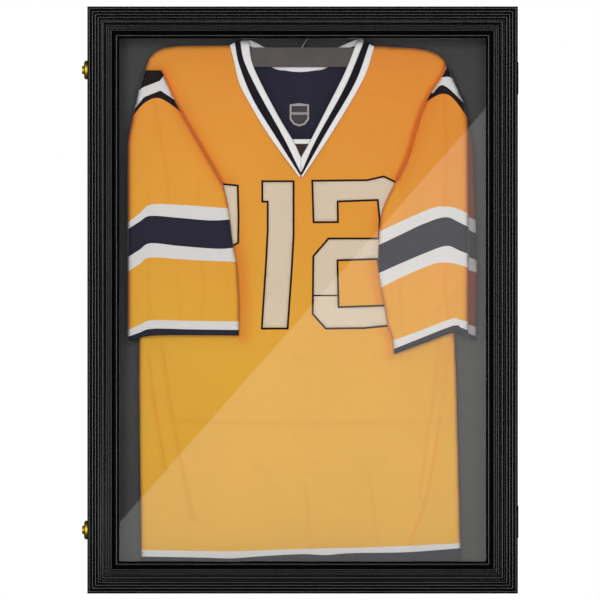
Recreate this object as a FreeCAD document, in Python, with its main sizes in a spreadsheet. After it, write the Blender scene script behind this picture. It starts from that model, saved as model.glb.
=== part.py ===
"""Wall display case for a jersey: a mitred case, a hinged reeded glazed door, a jersey on a hanger.

The frame: +Z is up, the front faces -Y, and +X is to the right seen from the front. The origin is
in the wall plane, at the middle of the case's width and height. Lengths are in millimetres.
"""

import FreeCAD, Part
import math
import os
import re
import Sketcher

VECTOR = FreeCAD.Vector

# Driving dimensions. Each entry becomes one aliased cell of the sheet.
SIZES = {
    # outer box
    "frame_width": 660.0,
    "frame_height": 900.0,
    "bumper_thickness": 5.0,
    "case_depth": 40.0,
    "door_gap": 1.2,
    "door_thickness": 20.0,
    # case
    "case_wall": 20.0,
    "rebate_width": 6.0,
    "board_recess": 1.0,
    "board_thickness": 3.0,
    "felt_thickness": 2.0,
    "board_play": 0.5,
    # door
    "moulding_width": 48.6,
    "moulding_edge": 15.0,
    "sight_lip": 8.0,
    "sight_edge": 11.8,
    "glass_rebate": 8.0,
    "glass_play": 1.0,
    "glass_thickness": 2.5,
    "glazing_bead_width": 6.0,
    "glazing_bead_depth": 5.0,
    "seal_width": 3.0,
    "seal_thickness": 0.8,
    # fasteners
    "nail_radius": 0.9,
    "nail_length": 32.0,
    "screw_radius": 1.0,
    "screw_head_radius": 2.0,
    "hole_play": 0.03,
    "glazing_pin_radius": 0.5,
    "glazing_pin_length": 9.0,
    # hinges
    "hinge_height": 341.0,
    "hinge_length": 48.0,
    "leaf_width": 15.0,
    "leaf_thickness": 1.0,
    "leaf_gap": 0.4,
    "knuckle_radius": 1.9,
    "knuckle_relief": 2.2,
    "knuckle_cove": 2.3,
    "knuckle_gap": 0.1,
    "pin_radius": 0.8,
    "pin_bore": 0.85,
    "pin_head_radius": 1.6,
    "pin_head_length": 0.8,
    # cam locks
    "lock_height": 355.0,
    "lock_depth": 26.0,
    "bezel_radius": 14.5,
    "bezel_thickness": 6.8,
    "bezel_bevel": 1.8,
    "barrel_radius": 8.0,
    "barrel_end": 3.2,
    "plug_bore": 5.05,
    "plug_radius": 5.0,
    "boss_radius": 6.4,
    "boss_thickness": 3.2,
    "boss_gap": 0.2,
    "key_slot_width": 1.2,
    "key_slot_length": 8.0,
    "key_slot_depth": 2.6,
    "nut_radius": 11.5,
    "nut_thickness": 2.5,
    "cam_gap": 0.5,
    "cam_thickness": 2.0,
    "cam_radius": 6.0,
    "cam_reach": 15.0,
    "cam_screw_radius": 1.5,
    "cam_screw_head": 3.5,
    "strike_thickness": 1.5,
    "strike_low": 8.0,
    "strike_high": 18.0,
    "strike_gap": 0.8,
    "strike_offset": 30.0,
    "strike_base": 9.0,
    # hanging hardware
    "ring_depth": 3.0,
    "ring_height": 440.0,
    "ring_pivot": 277.0,
    "ring_reach": 18.0,
    "ring_wire": 1.1,
    "ring_narrow": 4.5,
    "ring_wide": 12.5,
    "strap_thickness": 0.8,
    "strap_length": 24.0,
    "strap_width": 6.0,
    "loop_play": 0.1,
    "bumper_radius": 6.0,
    "bumper_inset": 11.0,
    # hanger and its peg
    "peg_height": 412.0,
    "peg_radius": 3.0,
    "peg_flange_radius": 9.0,
    "peg_flange": 2.0,
    "peg_knob_radius": 5.5,
    "peg_knob": 3.0,
    "peg_reach": 17.0,
    "hanger_depth": 20.5,
    "bar_thickness": 7.0,
    "bar_top": 390.0,
    "bar_height": 30.0,
    "bar_half_length": 200.0,
    "bar_tip": 9.0,
    "hook_wire": 1.75,
    "hook_bend": 8.75,
    "hook_seat": 0.3,
    "hook_insert": 16.0,
    # cutting allowances
    "mitre_past": 5.0,
    "mitre_cut": 300.0,
    "groove_slope": 0.6,
    "boss_chamfer": 0.6,
    "screw_head_round": 0.6,
    "wood_screw_room": 14.5,
    "leaf_screw_room": 11.5,
    "seal_play": 0.6,
    # jersey
    "cloth_size": 1.008,
    "body_back": 14.0,
    "body_thickness": 13.0,
    "sleeve_back": 28.0,
    "sleeve_thickness": 10.0,
    "collar_back": 27.3,
    "collar_thickness": 3.0,
    "cloth_play": 0.4,
}

# Reeds of the door moulding: distance from the outer edge, width, and height of the reed's foot
# above the back of the door. The two wide grooves follow the fourth and the fifth reed.
REEDS = [
    (0.8, 4.0, 15.6),
    (5.7, 4.4, 16.4),
    (10.3, 4.2, 17.2),
    (14.8, 4.2, 17.8),
    (21.8, 4.4, 18.74),
    (28.4, 3.1, 17.4),
    (31.5, 3.2, 16.9),
    (34.7, 3.3, 16.4),
    (42.4, 4.2, 13.2),
]
REED_ROUNDING = 0.58
GROOVE_FLOORS = {3: 15.4, 4: 15.8}

# Places worked out from the driving dimensions. Depths are measured from the wall towards the room.
PLACES = {
    "half_width": "frame_width / 2",
    "half_height": "frame_height / 2",
    "case_back": "bumper_thickness",
    "case_front": "case_back + case_depth",
    "door_back": "case_front + door_gap",
    "board_back": "case_back + board_recess",
    "board_front": "board_back + board_thickness",
    "felt_front": "board_front + felt_thickness",
    "inner_half_width": "half_width - case_wall",
    "inner_half_height": "half_height - case_wall",
    "board_half_width": "inner_half_width + rebate_width - board_play",
    "board_half_height": "inner_half_height + rebate_width - board_play",
    "sight_half_width": "half_width - moulding_width",
    "sight_half_height": "half_height - moulding_width",
    "glass_half_width": "sight_half_width + glass_rebate - glass_play",
    "glass_half_height": "sight_half_height + glass_rebate - glass_play",
    "glass_front": "door_back + sight_lip",
    "glass_back": "glass_front - glass_thickness",
    "hinge_depth": "case_front + door_gap / 2",
    "bezel_front": "half_width + bezel_thickness",
    "barrel_tip": "inner_half_width - barrel_end",
    "cam_outer": "barrel_tip - cam_gap",
    "cam_inner": "cam_outer - cam_thickness",
    "strike_edge": "half_width - strike_offset",
    "lip_back": "lock_depth - cam_radius - strike_gap",
    "hook_centre": "peg_height + peg_radius + hook_seat - hook_bend + hook_wire",
    "bar_bottom": "bar_top - bar_height",
    "knuckle_length": "hinge_length / 5",
}

document = FreeCAD.newDocument("jersey_display_frame")
sheet = document.addObject("Spreadsheet::Sheet", "Sizes")
nodes = []


def fill_sheet():
    """Write every driving dimension into the sheet as an aliased cell."""
    cells = dict(SIZES)
    for number, (start, width, foot) in enumerate(REEDS):
        cells["reed%d_start" % number] = start
        cells["reed%d_width" % number] = width
        cells["reed%d_foot" % number] = foot
    for row, (alias, value) in enumerate(cells.items(), start=1):
        sheet.set("A%d" % row, alias)
        sheet.set("B%d" % row, str(value))
        sheet.setAlias("B%d" % row, alias)
    document.recompute()
    return set(cells)


ALIASES = fill_sheet()


def expand(text):
    """Turn words of SIZES and PLACES in an expression into references to the sheet."""
    def replace(match):
        word = match.group(0)
        if word in PLACES:
            return "(" + expand(PLACES[word]) + ")"
        if word in ALIASES:
            return "Sizes." + word
        return word
    return re.sub(r"[a-z][a-z0-9_]*", replace, str(text))


def measure(text):
    """The present value of an expression, in millimetres."""
    return float(sheet.evalExpression(expand(text)))


def bind(item, **expressions):
    """Bind properties to expressions; double underscores stand for dots."""
    for name, text in expressions.items():
        item.setExpression(name.replace("__", "."), expand(text))


def place(item, x="0", y="0", z="0"):
    """Bind the position of an item."""
    bind(item, Placement__Base__x=x, Placement__Base__y=y, Placement__Base__z=z)


def minus(text):
    """The negative of an expression."""
    return "-(" + str(text) + ")"


def between(low, high):
    """The distance from one expression to another."""
    return "(" + str(high) + ") - (" + str(low) + ")"


def add(kind, name):
    """Add an object whose label is its name."""
    item = document.addObject(kind, name)
    item.Label = name
    return item


def keep(item, name):
    """Register an item as the sub-part of that name."""
    item.Label = name
    nodes.append(item)
    return item


# ---------------------------------------------------------------- primitives and booleans

TURN_TO = {
    "x": FreeCAD.Rotation(VECTOR(0, 1, 0), 90),
    "y": FreeCAD.Rotation(VECTOR(1, 0, 0), -90),
    "z": FreeCAD.Rotation(),
}


def block(name, x, y, z):
    """A box from its low and high expressions along each axis."""
    item = add("Part::Box", name)
    bind(item, Length=between(*x), Width=between(*y), Height=between(*z))
    place(item, x[0], y[0], z[0])
    return item


def rod(name, axis, at, span, radius):
    """A cylinder along an axis; at gives the other two coordinates in X, Y, Z order."""
    item = add("Part::Cylinder", name)
    item.Placement = FreeCAD.Placement(VECTOR(), TURN_TO[axis])
    bind(item, Radius=radius, Height=between(*span))
    place_along(item, axis, at, span[0])
    return item


def cone(name, axis, at, span, radii):
    """A cone along an axis, with its radius at the low and the high end."""
    item = add("Part::Cone", name)
    item.Placement = FreeCAD.Placement(VECTOR(), TURN_TO[axis])
    bind(item, Radius1=radii[0], Radius2=radii[1], Height=between(*span))
    place_along(item, axis, at, span[0])
    return item


def place_along(item, axis, at, start):
    """Bind the start point of a rod or a cone."""
    first, second = at
    if axis == "x":
        place(item, start, first, second)
    if axis == "y":
        place(item, first, start, second)
    if axis == "z":
        place(item, first, second, start)


def group(name, items):
    """Separate solids kept together."""
    item = add("Part::Compound", name)
    item.Links = items
    return item


def fuse(name, items):
    """One solid from several overlapping ones."""
    item = add("Part::MultiFuse", name)
    item.Shapes = items
    item.Refine = True
    return item


def cut(name, base, tools):
    """A base with one or more tools taken away."""
    item = add("Part::Cut", name)
    item.Base = base
    item.Tool = tools[0] if len(tools) == 1 else group(name + "_tools", tools)
    return item


# ---------------------------------------------------------------- sketched bodies

def origin_plane(body, role):
    """One of a body's own base planes."""
    return [part for part in body.Origin.OriginFeatures if part.Role == role][0]


def new_sketch(body, name, role):
    """An empty sketch on one of a body's base planes."""
    sketch = body.newObject("Sketcher::SketchObject", name)
    sketch.AttachmentSupport = [(origin_plane(body, role), "")]
    sketch.MapMode = "FlatFace"
    return sketch


def pin_point(sketch, edge, end, point):
    """Bind one end of an edge to a pair of expressions."""
    for kind, text in zip(("DistanceX", "DistanceY"), point):
        value = measure(text)
        number = sketch.addConstraint(Sketcher.Constraint(kind, -1, 1, edge, end, value))
        sketch.setExpression("Constraints[%d]" % number, expand(text))


def draw_outline(sketch, points):
    """A closed outline of lines and arcs through bound points.

    A point is (u, v), or (u, v, radius) where an arc bulging to the left of the direction of
    travel leads to the next point.
    """
    flat = [VECTOR(measure(point[0]), measure(point[1]), 0) for point in points]
    edges = []
    for number, point in enumerate(points):
        start = flat[number]
        end = flat[(number + 1) % len(points)]
        if len(point) == 2:
            edges.append((sketch.addGeometry(Part.LineSegment(start, end)), 1, 2))
        else:
            edges.append(draw_arc(sketch, start, end, point[2]))
    for number, (edge, first, _) in enumerate(edges):
        before, _, last = edges[number - 1]
        sketch.addConstraint(Sketcher.Constraint("Coincident", before, last, edge, first))
        pin_point(sketch, edge, first, points[number][:2])


def draw_arc(sketch, start, end, radius):
    """An arc of a bound radius between two points; a positive radius bulges to the left."""
    size = measure(radius)
    chord = end - start
    rise = abs(size) - math.sqrt(size * size - chord.Length ** 2 / 4)
    left = VECTOR(-chord.y, chord.x, 0).normalize() * math.copysign(rise, size)
    middle = (start + end) * 0.5 + left
    edge = sketch.addGeometry(Part.Arc(start, middle, end))
    number = sketch.addConstraint(Sketcher.Constraint("Radius", edge, abs(size)))
    sketch.setExpression("Constraints[%d]" % number, "abs(" + expand(radius) + ")")
    if sketch.getPoint(edge, 1).distanceToPoint(start) < 0.001:
        return edge, 1, 2
    return edge, 2, 1


def slab(name, points, back, thickness):
    """An outline in the XZ plane, padded towards the room from a depth."""
    body = add("PartDesign::Body", name)
    sketch = new_sketch(body, name + "_outline", "XZ_Plane")
    draw_outline(sketch, points)
    pad = body.newObject("PartDesign::Pad", name + "_pad")
    pad.Profile = sketch
    bind(pad, Length=thickness)
    place(body, y=minus(back))
    return body


def turned(name, axis, at, points):
    """A turned piece: points are (distance along the axis, radius), all bound."""
    turns = {
        "x": FreeCAD.Rotation(),
        "y": FreeCAD.Rotation(VECTOR(0, 0, 1), 90),
        "z": FreeCAD.Rotation(VECTOR(0, 1, 0), -90),
    }
    body = add("PartDesign::Body", name)
    sketch = new_sketch(body, name + "_section", "XY_Plane")
    draw_outline(sketch, points)
    turn = body.newObject("PartDesign::Revolution", name + "_turn")
    turn.Profile = sketch
    turn.ReferenceAxis = (sketch, ["H_Axis"])
    turn.Angle = 360
    body.Placement = FreeCAD.Placement(VECTOR(), turns[axis])
    place_along(body, axis, at, "0")
    return body


# ---------------------------------------------------------------- rails

# A rail is drawn as the bottom one and turned about the Y axis to its side.
RAIL_TURNS = {"bottom": 0, "right": -90, "top": 180, "left": 90}


def rail(name, side, section, width):
    """A mitred rail: section maps a half size to its points in the YZ plane."""
    upright = side in ("left", "right")
    half = "half_width" if upright else "half_height"
    reach = "half_height" if upright else "half_width"
    body = add("PartDesign::Body", name)
    sketch = new_sketch(body, name + "_section", "YZ_Plane")
    draw_outline(sketch, section(half))
    pad = body.newObject("PartDesign::Pad", name + "_pad")
    pad.Profile = sketch
    pad.SideType = "Symmetric"
    bind(pad, Length="2 * (" + reach + ")")
    for end, sign in (("start", "-"), ("finish", "")):
        mitre(body, name + "_mitre_" + end, sign, half, reach, width)
    turn = FreeCAD.Rotation(VECTOR(0, 1, 0), RAIL_TURNS[side])
    body.Placement = FreeCAD.Placement(VECTOR(), turn)
    return body


def mitre(body, name, sign, half, reach, width):
    """Cut one end of a rail at 45 degrees."""
    tip = "%s((%s) + mitre_past)" % (sign, reach)
    root = "%s((%s) - (%s) - mitre_past)" % (sign, reach, width)
    outer = "-(%s) - mitre_past" % half
    inner = "-(%s) + (%s) + mitre_past" % (half, width)
    sketch = new_sketch(body, name + "_outline", "XZ_Plane")
    draw_outline(sketch, [(tip, outer), (tip, inner), (root, inner)])
    pocket = body.newObject("PartDesign::Pocket", name)
    pocket.Profile = sketch
    pocket.SideType = "Symmetric"
    pocket.Type = "Length"
    bind(pocket, Length="mitre_cut")


def case_section(half):
    """Case rail: a board with a rebate at the back of its inner side."""
    outer = minus(half)
    shoulder = "%s + case_wall - rebate_width" % outer
    inner = "%s + case_wall" % outer
    return [
        (minus("case_back"), outer),
        (minus("case_back"), shoulder),
        (minus("felt_front"), shoulder),
        (minus("felt_front"), inner),
        (minus("case_front"), inner),
        (minus("case_front"), outer),
    ]


def door_section(half):
    """Door rail: a row of reeds over a glazing rebate."""
    outer = minus(half)

    def point(height, distance, *arc):
        return ("-(door_back + %s)" % height, "%s + %s" % (outer, distance)) + arc

    points = [point("0", "0"), point("moulding_edge", "0")]
    for number, (_, width, _) in enumerate(REEDS):
        start = "reed%d_start" % number
        end = "reed%d_start + reed%d_width" % (number, number)
        foot = "reed%d_foot" % number
        radius = "reed%d_width * %s" % (number, REED_ROUNDING)
        points += [point(foot, start, radius), point(foot, end)]
        if number in GROOVE_FLOORS:
            floor = str(GROOVE_FLOORS[number])
            points += [point(floor, end + " + groove_slope"),
                       point(floor, "reed%d_start - groove_slope" % (number + 1))]
    points += [
        point("sight_edge", "moulding_width"),
        point("sight_lip", "moulding_width"),
        point("sight_lip", "moulding_width - glass_rebate"),
        point("0", "moulding_width - glass_rebate"),
    ]
    return points


def both_ends(text):
    """An expression and its negative, keyed by the words upper and lower."""
    return {"upper": str(text), "lower": minus(text)}


# ---------------------------------------------------------------- fasteners

def corner_nails(name, depth_low, depth_high, inset):
    """Nails driven from the side rails into the ends of the top and bottom rails."""
    nails = []
    for side in ("", "-"):
        for end in ("", "-"):
            for number, depth in enumerate((depth_low, depth_high)):
                label = "%s_%s%s%d" % (name, "right" if side == "" else "left",
                                       "_top" if end == "" else "_low", number)
                near = "%s(half_width - nail_length)" % side
                far = "%s(half_width - 1)" % side
                span = (near, far) if side == "" else (far, near)
                height = "%s(half_height - %s)" % (end, inset)
                nails.append((label, "x", (minus(depth), height), span, "nail_radius"))
    return nails


def board_screws():
    """Screws through the edge of the back board into the case rails."""
    edge_x = "(inner_half_width + rebate_width / 2)"
    edge_z = "(inner_half_height + rebate_width / 2)"
    places = []
    for sign in ("", "-"):
        for height in ("-300", "0", "300"):
            places.append(("%s%s" % (sign, edge_x), height))
        for along in ("-200", "200"):
            places.append((along, "%s%s" % (sign, edge_z)))
    return places


def glazing_pins():
    """Pins through the glazing beads into the door rails; each is (axis, at, span)."""
    depth = minus("glass_back - glazing_bead_depth / 2")
    pins = []
    for sign in ("", "-"):
        near = "%s(sight_half_width + 2.5)" % sign
        far = "%s(sight_half_width + 2.5 + glazing_pin_length)" % sign
        for height in ("-330", "-110", "110", "330"):
            span = (near, far) if sign == "" else (far, near)
            pins.append(("x", (depth, height), span))
        near = "%s(sight_half_height + 2.5)" % sign
        far = "%s(sight_half_height + 2.5 + glazing_pin_length)" % sign
        for along in ("-210", "0", "210"):
            span = (near, far) if sign == "" else (far, near)
            pins.append(("z", (along, depth), span))
    return pins


def hinge_screw_places(centre):
    """Heights of the three screws of a hinge leaf, and their distance from the axis."""
    reach = "half_width - leaf_width + 5"
    return [(reach, "%s + %s" % (centre, offset)) for offset in ("-17", "0", "17")]


def leaf_screw(name, x, z, face, direction):
    """A countersunk wood screw whose head is just under a leaf's face."""
    sink = 0.05
    head_end = "%s %s (leaf_thickness - %s)" % (face, direction, sink)
    tip = "%s %s 11" % (face, direction)
    top = "%s %s %s" % (face, direction, sink)
    wide, narrow = "screw_head_radius", "screw_radius"
    if direction == "+":
        head = cone(name + "_head", "y", (x, z), (top, head_end), (wide, narrow))
        shank = rod(name + "_shank", "y", (x, z), (head_end, tip), narrow)
    else:
        head = cone(name + "_head", "y", (x, z), (head_end, top), (narrow, wide))
        shank = rod(name + "_shank", "y", (x, z), (tip, head_end), narrow)
    return fuse(name, [head, shank])


# ---------------------------------------------------------------- hinges

def knuckle_span(centre, number, trim):
    """Heights of one of the five knuckles, trimmed at both ends."""
    low = "%s - hinge_length / 2 + %d * knuckle_length + %s" % (centre, number, trim)
    high = "%s - hinge_length / 2 + %d * knuckle_length - %s" % (centre, number + 1, trim)
    return low, high


def hinge_leaf(name, centre, own, other, faces, screw_direction):
    """One leaf with its knuckles, cleared round the other leaf's knuckles."""
    axis_at = ("half_width", minus("hinge_depth"))
    span = ("%s - hinge_length / 2" % centre, "%s + hinge_length / 2" % centre)
    plate = block(name + "_plate", ("half_width - leaf_width", "half_width"), faces, span)
    reliefs = [rod("%s_relief%d" % (name, number), "z", axis_at,
                   knuckle_span(centre, number, "0"), "knuckle_relief") for number in other]
    leaf = cut(name + "_relieved", plate, reliefs)
    knuckles = [rod("%s_knuckle%d" % (name, number), "z", axis_at,
                    knuckle_span(centre, number, "knuckle_gap"), "knuckle_radius")
                for number in own]
    whole = fuse(name + "_whole", [leaf] + knuckles)
    bore = rod(name + "_bore", "z", axis_at, span, "pin_bore")
    near_face = faces[0] if screw_direction == "+" else faces[1]
    holes = []
    for number, (x, z) in enumerate(hinge_screw_places(centre)):
        holes.append(sink_hole("%s_sink%d" % (name, number), x, z, near_face, screw_direction))
    return keep(cut(name, whole, [bore] + holes), name)


def sink_hole(name, x, z, face, direction):
    """The countersunk hole of a leaf, a little wider than its screw."""
    wide = "screw_head_radius + 2 * hole_play"
    narrow = "screw_radius + hole_play"
    far = "%s %s leaf_thickness" % (face, direction)
    if direction == "+":
        return cone(name, "y", (x, z), (face, far), (wide, narrow))
    return cone(name, "y", (x, z), (far, face), (narrow, wide))


def hinge(end, centre):
    """Both leaves, the pin and the screws of one hinge."""
    case_faces = (minus("hinge_depth") + " + leaf_gap / 2",
                  minus("hinge_depth") + " + leaf_gap / 2 + leaf_thickness")
    door_faces = (minus("hinge_depth") + " - leaf_gap / 2 - leaf_thickness",
                  minus("hinge_depth") + " - leaf_gap / 2")
    hinge_leaf("hinge_case_leaf_" + end, centre, (0, 2, 4), (1, 3), case_faces, "+")
    hinge_leaf("hinge_door_leaf_" + end, centre, (1, 3), (0, 2, 4), door_faces, "-")
    low = "-hinge_length / 2 - pin_head_length"
    high = "hinge_length / 2 + pin_head_length"
    pin = turned("hinge_pin_" + end, "z", ("half_width", minus("hinge_depth")), [
        ("%s + %s" % (centre, low), "0"),
        ("%s + %s" % (centre, low), "pin_head_radius"),
        ("%s - hinge_length / 2" % centre, "pin_head_radius"),
        ("%s - hinge_length / 2" % centre, "pin_radius"),
        ("%s + hinge_length / 2" % centre, "pin_radius"),
        ("%s + hinge_length / 2" % centre, "pin_head_radius"),
        ("%s + %s" % (centre, high), "pin_head_radius"),
        ("%s + %s" % (centre, high), "0"),
    ])
    keep(pin, "hinge_pin_" + end)


def hinge_screws(name, faces_start, direction):
    """The screws of one side of both hinges, as one group."""
    screws = []
    for end, centre in both_ends("hinge_height").items():
        for number, (x, z) in enumerate(hinge_screw_places(centre)):
            label = "%s_%s%d" % (name, end, number)
            screws.append(leaf_screw(label, x, z, faces_start, direction))
    return keep(group(name, screws), name)


def hinge_room(name, faces):
    """What both hinges take out of a rail: a mortise and a cove for the knuckles each."""
    tools = []
    for end, centre in both_ends("hinge_height").items():
        span = ("%s - hinge_length / 2" % centre, "%s + hinge_length / 2" % centre)
        past_x = ("half_width - leaf_width", "half_width + 1")
        tools.append(block("%s_mortise_%s" % (name, end), past_x, faces, span))
        cove_span = (span[0] + " - pin_head_length - 0.5", span[1] + " + pin_head_length + 0.5")
        axis_at = ("half_width", minus("hinge_depth"))
        tools.append(rod("%s_cove_%s" % (name, end), "z", axis_at, cove_span, "knuckle_cove"))
    return tools


# ---------------------------------------------------------------- cam locks

def lock(end, centre):
    """One cam lock through the left wall: barrel, nut, plug, cam, cam screw."""
    at = (minus("lock_depth"), centre)
    barrel = turned("lock_body_" + end, "x", at, [
        (minus("bezel_front"), "plug_bore"),
        (minus("bezel_front"), "bezel_radius - bezel_bevel"),
        ("-(bezel_front - bezel_bevel)", "bezel_radius"),
        (minus("half_width"), "bezel_radius"),
        (minus("half_width"), "barrel_radius"),
        (minus("barrel_tip"), "barrel_radius"),
        (minus("barrel_tip"), "plug_bore"),
    ])
    keep(barrel, "lock_body_" + end)
    lock_nut("lock_nut_" + end, at)
    lock_plug("lock_plug_" + end, at, centre)
    lock_cam("lock_cam_" + end, at, centre)
    screw = turned("lock_cam_screw_" + end, "x", at, [
        ("-(cam_outer + 10)", "0"),
        ("-(cam_outer + 10)", "cam_screw_radius"),
        (minus("cam_inner"), "cam_screw_radius"),
        (minus("cam_inner"), "cam_screw_head"),
        ("-(cam_inner - 1.2)", "cam_screw_head"),
        ("-(cam_inner - 1.8)", "cam_screw_head - 1"),
        ("-(cam_inner - 1.8)", "0"),
    ])
    keep(screw, "lock_cam_screw_" + end)


def lock_nut(name, at):
    """The hexagonal nut inside the case."""
    body = add("Part::Prism", name + "_hexagon")
    body.Polygon = 6
    body.Placement = FreeCAD.Placement(VECTOR(), TURN_TO["x"])
    bind(body, Circumradius="nut_radius", Height="nut_thickness")
    place_along(body, "x", at, minus("inner_half_width"))
    bore = rod(name + "_bore", "x", at,
               (minus("inner_half_width"), "-inner_half_width + nut_thickness"),
               "barrel_radius + hole_play")
    keep(cut(name, body, [bore]), name)


def lock_plug(name, at, centre):
    """The turning plug: a proud boss with a key slot, and a shaft to the cam."""
    plug = turned(name + "_turned", "x", at, [
        ("-(bezel_front + boss_gap + boss_thickness)", "0"),
        ("-(bezel_front + boss_gap + boss_thickness)", "boss_radius - boss_chamfer"),
        ("-(bezel_front + boss_gap + boss_thickness - boss_chamfer)", "boss_radius"),
        ("-(bezel_front + boss_gap)", "boss_radius"),
        ("-(bezel_front + boss_gap)", "plug_radius"),
        (minus("cam_outer"), "plug_radius"),
        (minus("cam_outer"), "0"),
    ])
    outer = "-(bezel_front + boss_gap + boss_thickness)"
    slot = block(name + "_key_slot", (outer + " - 1", outer + " + key_slot_depth"),
                 ("-lock_depth - key_slot_width / 2", "-lock_depth + key_slot_width / 2"),
                 ("%s - key_slot_length / 2" % centre, "%s + key_slot_length / 2" % centre))
    hole = rod(name + "_screw_hole", "x", at, ("-(cam_outer + 10.5)", minus("cam_outer")),
               "cam_screw_radius + hole_play")
    keep(cut(name, plug, [slot, hole]), name)


def lock_cam(name, at, centre):
    """A round-ended cam that points at the door when the lock is open."""
    span = (minus("cam_outer"), minus("cam_inner"))
    tip_depth = "-(lock_depth + cam_reach - cam_radius)"
    eye = rod(name + "_eye", "x", at, span, "cam_radius")
    tip = rod(name + "_tip", "x", (tip_depth, centre), span, "cam_radius")
    web = block(name + "_web", span, (tip_depth, minus("lock_depth")),
                ("%s - cam_radius" % centre, "%s + cam_radius" % centre))
    blank = fuse(name + "_blank", [eye, web, tip])
    hole = rod(name + "_hole", "x", at, span, "cam_screw_radius + hole_play")
    keep(cut(name, blank, [hole]), name)


def strike_screw_places(centre):
    """The two screws of a strike: X and Z."""
    x = "-(strike_edge - strike_base + 2.6)"
    return [(x, "%s + strike_low + 2.4" % centre), (x, "%s + strike_high - 2.4" % centre)]


def strike(end, centre):
    """The door's strike: a screwed base, a leg beside the cam and a lip behind it."""
    name = "lock_strike_" + end
    heights = ("%s + strike_low" % centre, "%s + strike_high" % centre)
    base = block(name + "_base", (minus("strike_edge"), "-(strike_edge - strike_base)"),
                 (minus("door_back"), "-door_back + strike_thickness"), heights)
    leg = block(name + "_leg", (minus("strike_edge"), "-strike_edge + strike_thickness"),
                (minus("door_back"), "-lip_back + strike_thickness"), heights)
    lip = block(name + "_lip", (minus("cam_outer"), minus("strike_edge - strike_thickness")),
                (minus("lip_back"), "-lip_back + strike_thickness"), heights)
    whole = fuse(name + "_whole", [base, leg, lip])
    holes = []
    for number, (x, z) in enumerate(strike_screw_places(centre)):
        span = (minus("door_back"), "-door_back + strike_thickness")
        holes.append(rod("%s_hole%d" % (name, number), "y", (x, z), span, "screw_radius + hole_play"))
    keep(cut(name, whole, holes), name)


def strike_screws():
    """Pan-head screws of both strikes."""
    screws = []
    face = "-door_back + strike_thickness"
    for end, centre in both_ends("lock_height").items():
        for number, (x, z) in enumerate(strike_screw_places(centre)):
            screws.append(turned("strike_screw_%s%d" % (end, number), "y", (x, z), [
                (face + " - 10", "0"),
                (face + " - 10", "screw_radius"),
                (face, "screw_radius"),
                (face, "screw_head_radius"),
                (face + " + 0.9", "screw_head_radius - 0.5"),
                (face + " + 0.9", "0"),
            ]))
    return keep(group("lock_strike_screws", screws), "lock_strike_screws")


# ---------------------------------------------------------------- bent wire

def bent_path(points, bend, closed=False):
    """Edges along straight runs with an arc of one radius at each corner."""
    corners = points if closed else points[1:-1]
    first = 0 if closed else 1
    arcs = []
    for number, corner in enumerate(corners, start=first):
        before = points[number - 1]
        after = points[(number + 1) % len(points)]
        back = (before - corner).normalize()
        ahead = (after - corner).normalize()
        half_angle = back.getAngle(ahead) / 2
        reach = bend / math.tan(half_angle)
        centre_way = (back + ahead).normalize()
        nearest = corner + centre_way * (bend / math.sin(half_angle) - bend)
        arcs.append((corner + back * reach, nearest, corner + ahead * reach))
    edges = []
    place_now = arcs[-1][2] if closed else points[0]
    for start, middle, end in arcs:
        edges.append(Part.LineSegment(place_now, start).toShape())
        edges.append(Part.Arc(start, middle, end).toShape())
        place_now = end
    if not closed:
        edges.append(Part.LineSegment(place_now, points[-1]).toShape())
    return edges


def wire_solid(edges, start, direction, radius):
    """A round wire along a path of edges."""
    section = Part.Wire(Part.makeCircle(radius, start, direction))
    return Part.Wire(edges).makePipeShell([section], True, True)


def shape_node(name, shape, x="0", y="0", z="0"):
    """A sub-part whose shape is set here; its sizes are read from the sheet."""
    item = add("Part::Feature", name)
    item.Shape = shape
    place(item, x, y, z)
    return keep(item, name)


# ---------------------------------------------------------------- hanging hardware

def strap_ring(side, sign):
    """A triangular ring lying flat on the back, its wide side outwards."""
    reach = sign * measure("ring_reach")
    narrow = measure("ring_narrow")
    wide = measure("ring_wide")
    corners = [VECTOR(0, 0, -narrow), VECTOR(reach, 0, -wide),
               VECTOR(reach, 0, wide), VECTOR(0, 0, narrow)]
    edges = bent_path(corners, 1.6, closed=True)
    run = edges[0]
    start = run.Vertexes[0].Point
    direction = run.tangentAt(run.FirstParameter)
    solid = wire_solid(edges, start, direction, measure("ring_wire"))
    pivot = "ring_pivot" if sign > 0 else minus("ring_pivot")
    shape_node("strap_ring_" + side, solid, pivot, minus("ring_depth"), "ring_height")


def strap_screw_places(sign):
    """The two screws of a strap: X and Z."""
    return [("%s(ring_pivot - %s)" % (sign, along), "ring_height") for along in ("8", "19")]


def strap_hanger(side, sign):
    """A strap with a rolled eye round the ring's narrow side."""
    name = "strap_hanger_" + side
    pivot = "%sring_pivot" % sign
    inner = "%s(ring_pivot - strap_length)" % sign
    span = (inner, pivot) if sign == "" else (pivot, inner)
    heights = ("ring_height - strap_width / 2", "ring_height + strap_width / 2")
    plate = block(name + "_plate", span, (minus("case_back"), "-case_back + strap_thickness"), heights)
    at = (pivot, minus("ring_depth"))
    roll = rod(name + "_roll", "z", at, heights, "case_back - ring_depth")
    eye = rod(name + "_eye", "z", at, heights, "ring_wire + loop_play")
    holes = [rod("%s_hole%d" % (name, number), "y", (x, z),
                 (minus("case_back"), "-case_back + strap_thickness"), "screw_radius + hole_play")
             for number, (x, z) in enumerate(strap_screw_places(sign))]
    keep(cut(name, fuse(name + "_whole", [plate, roll]), [eye] + holes), name)


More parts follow.
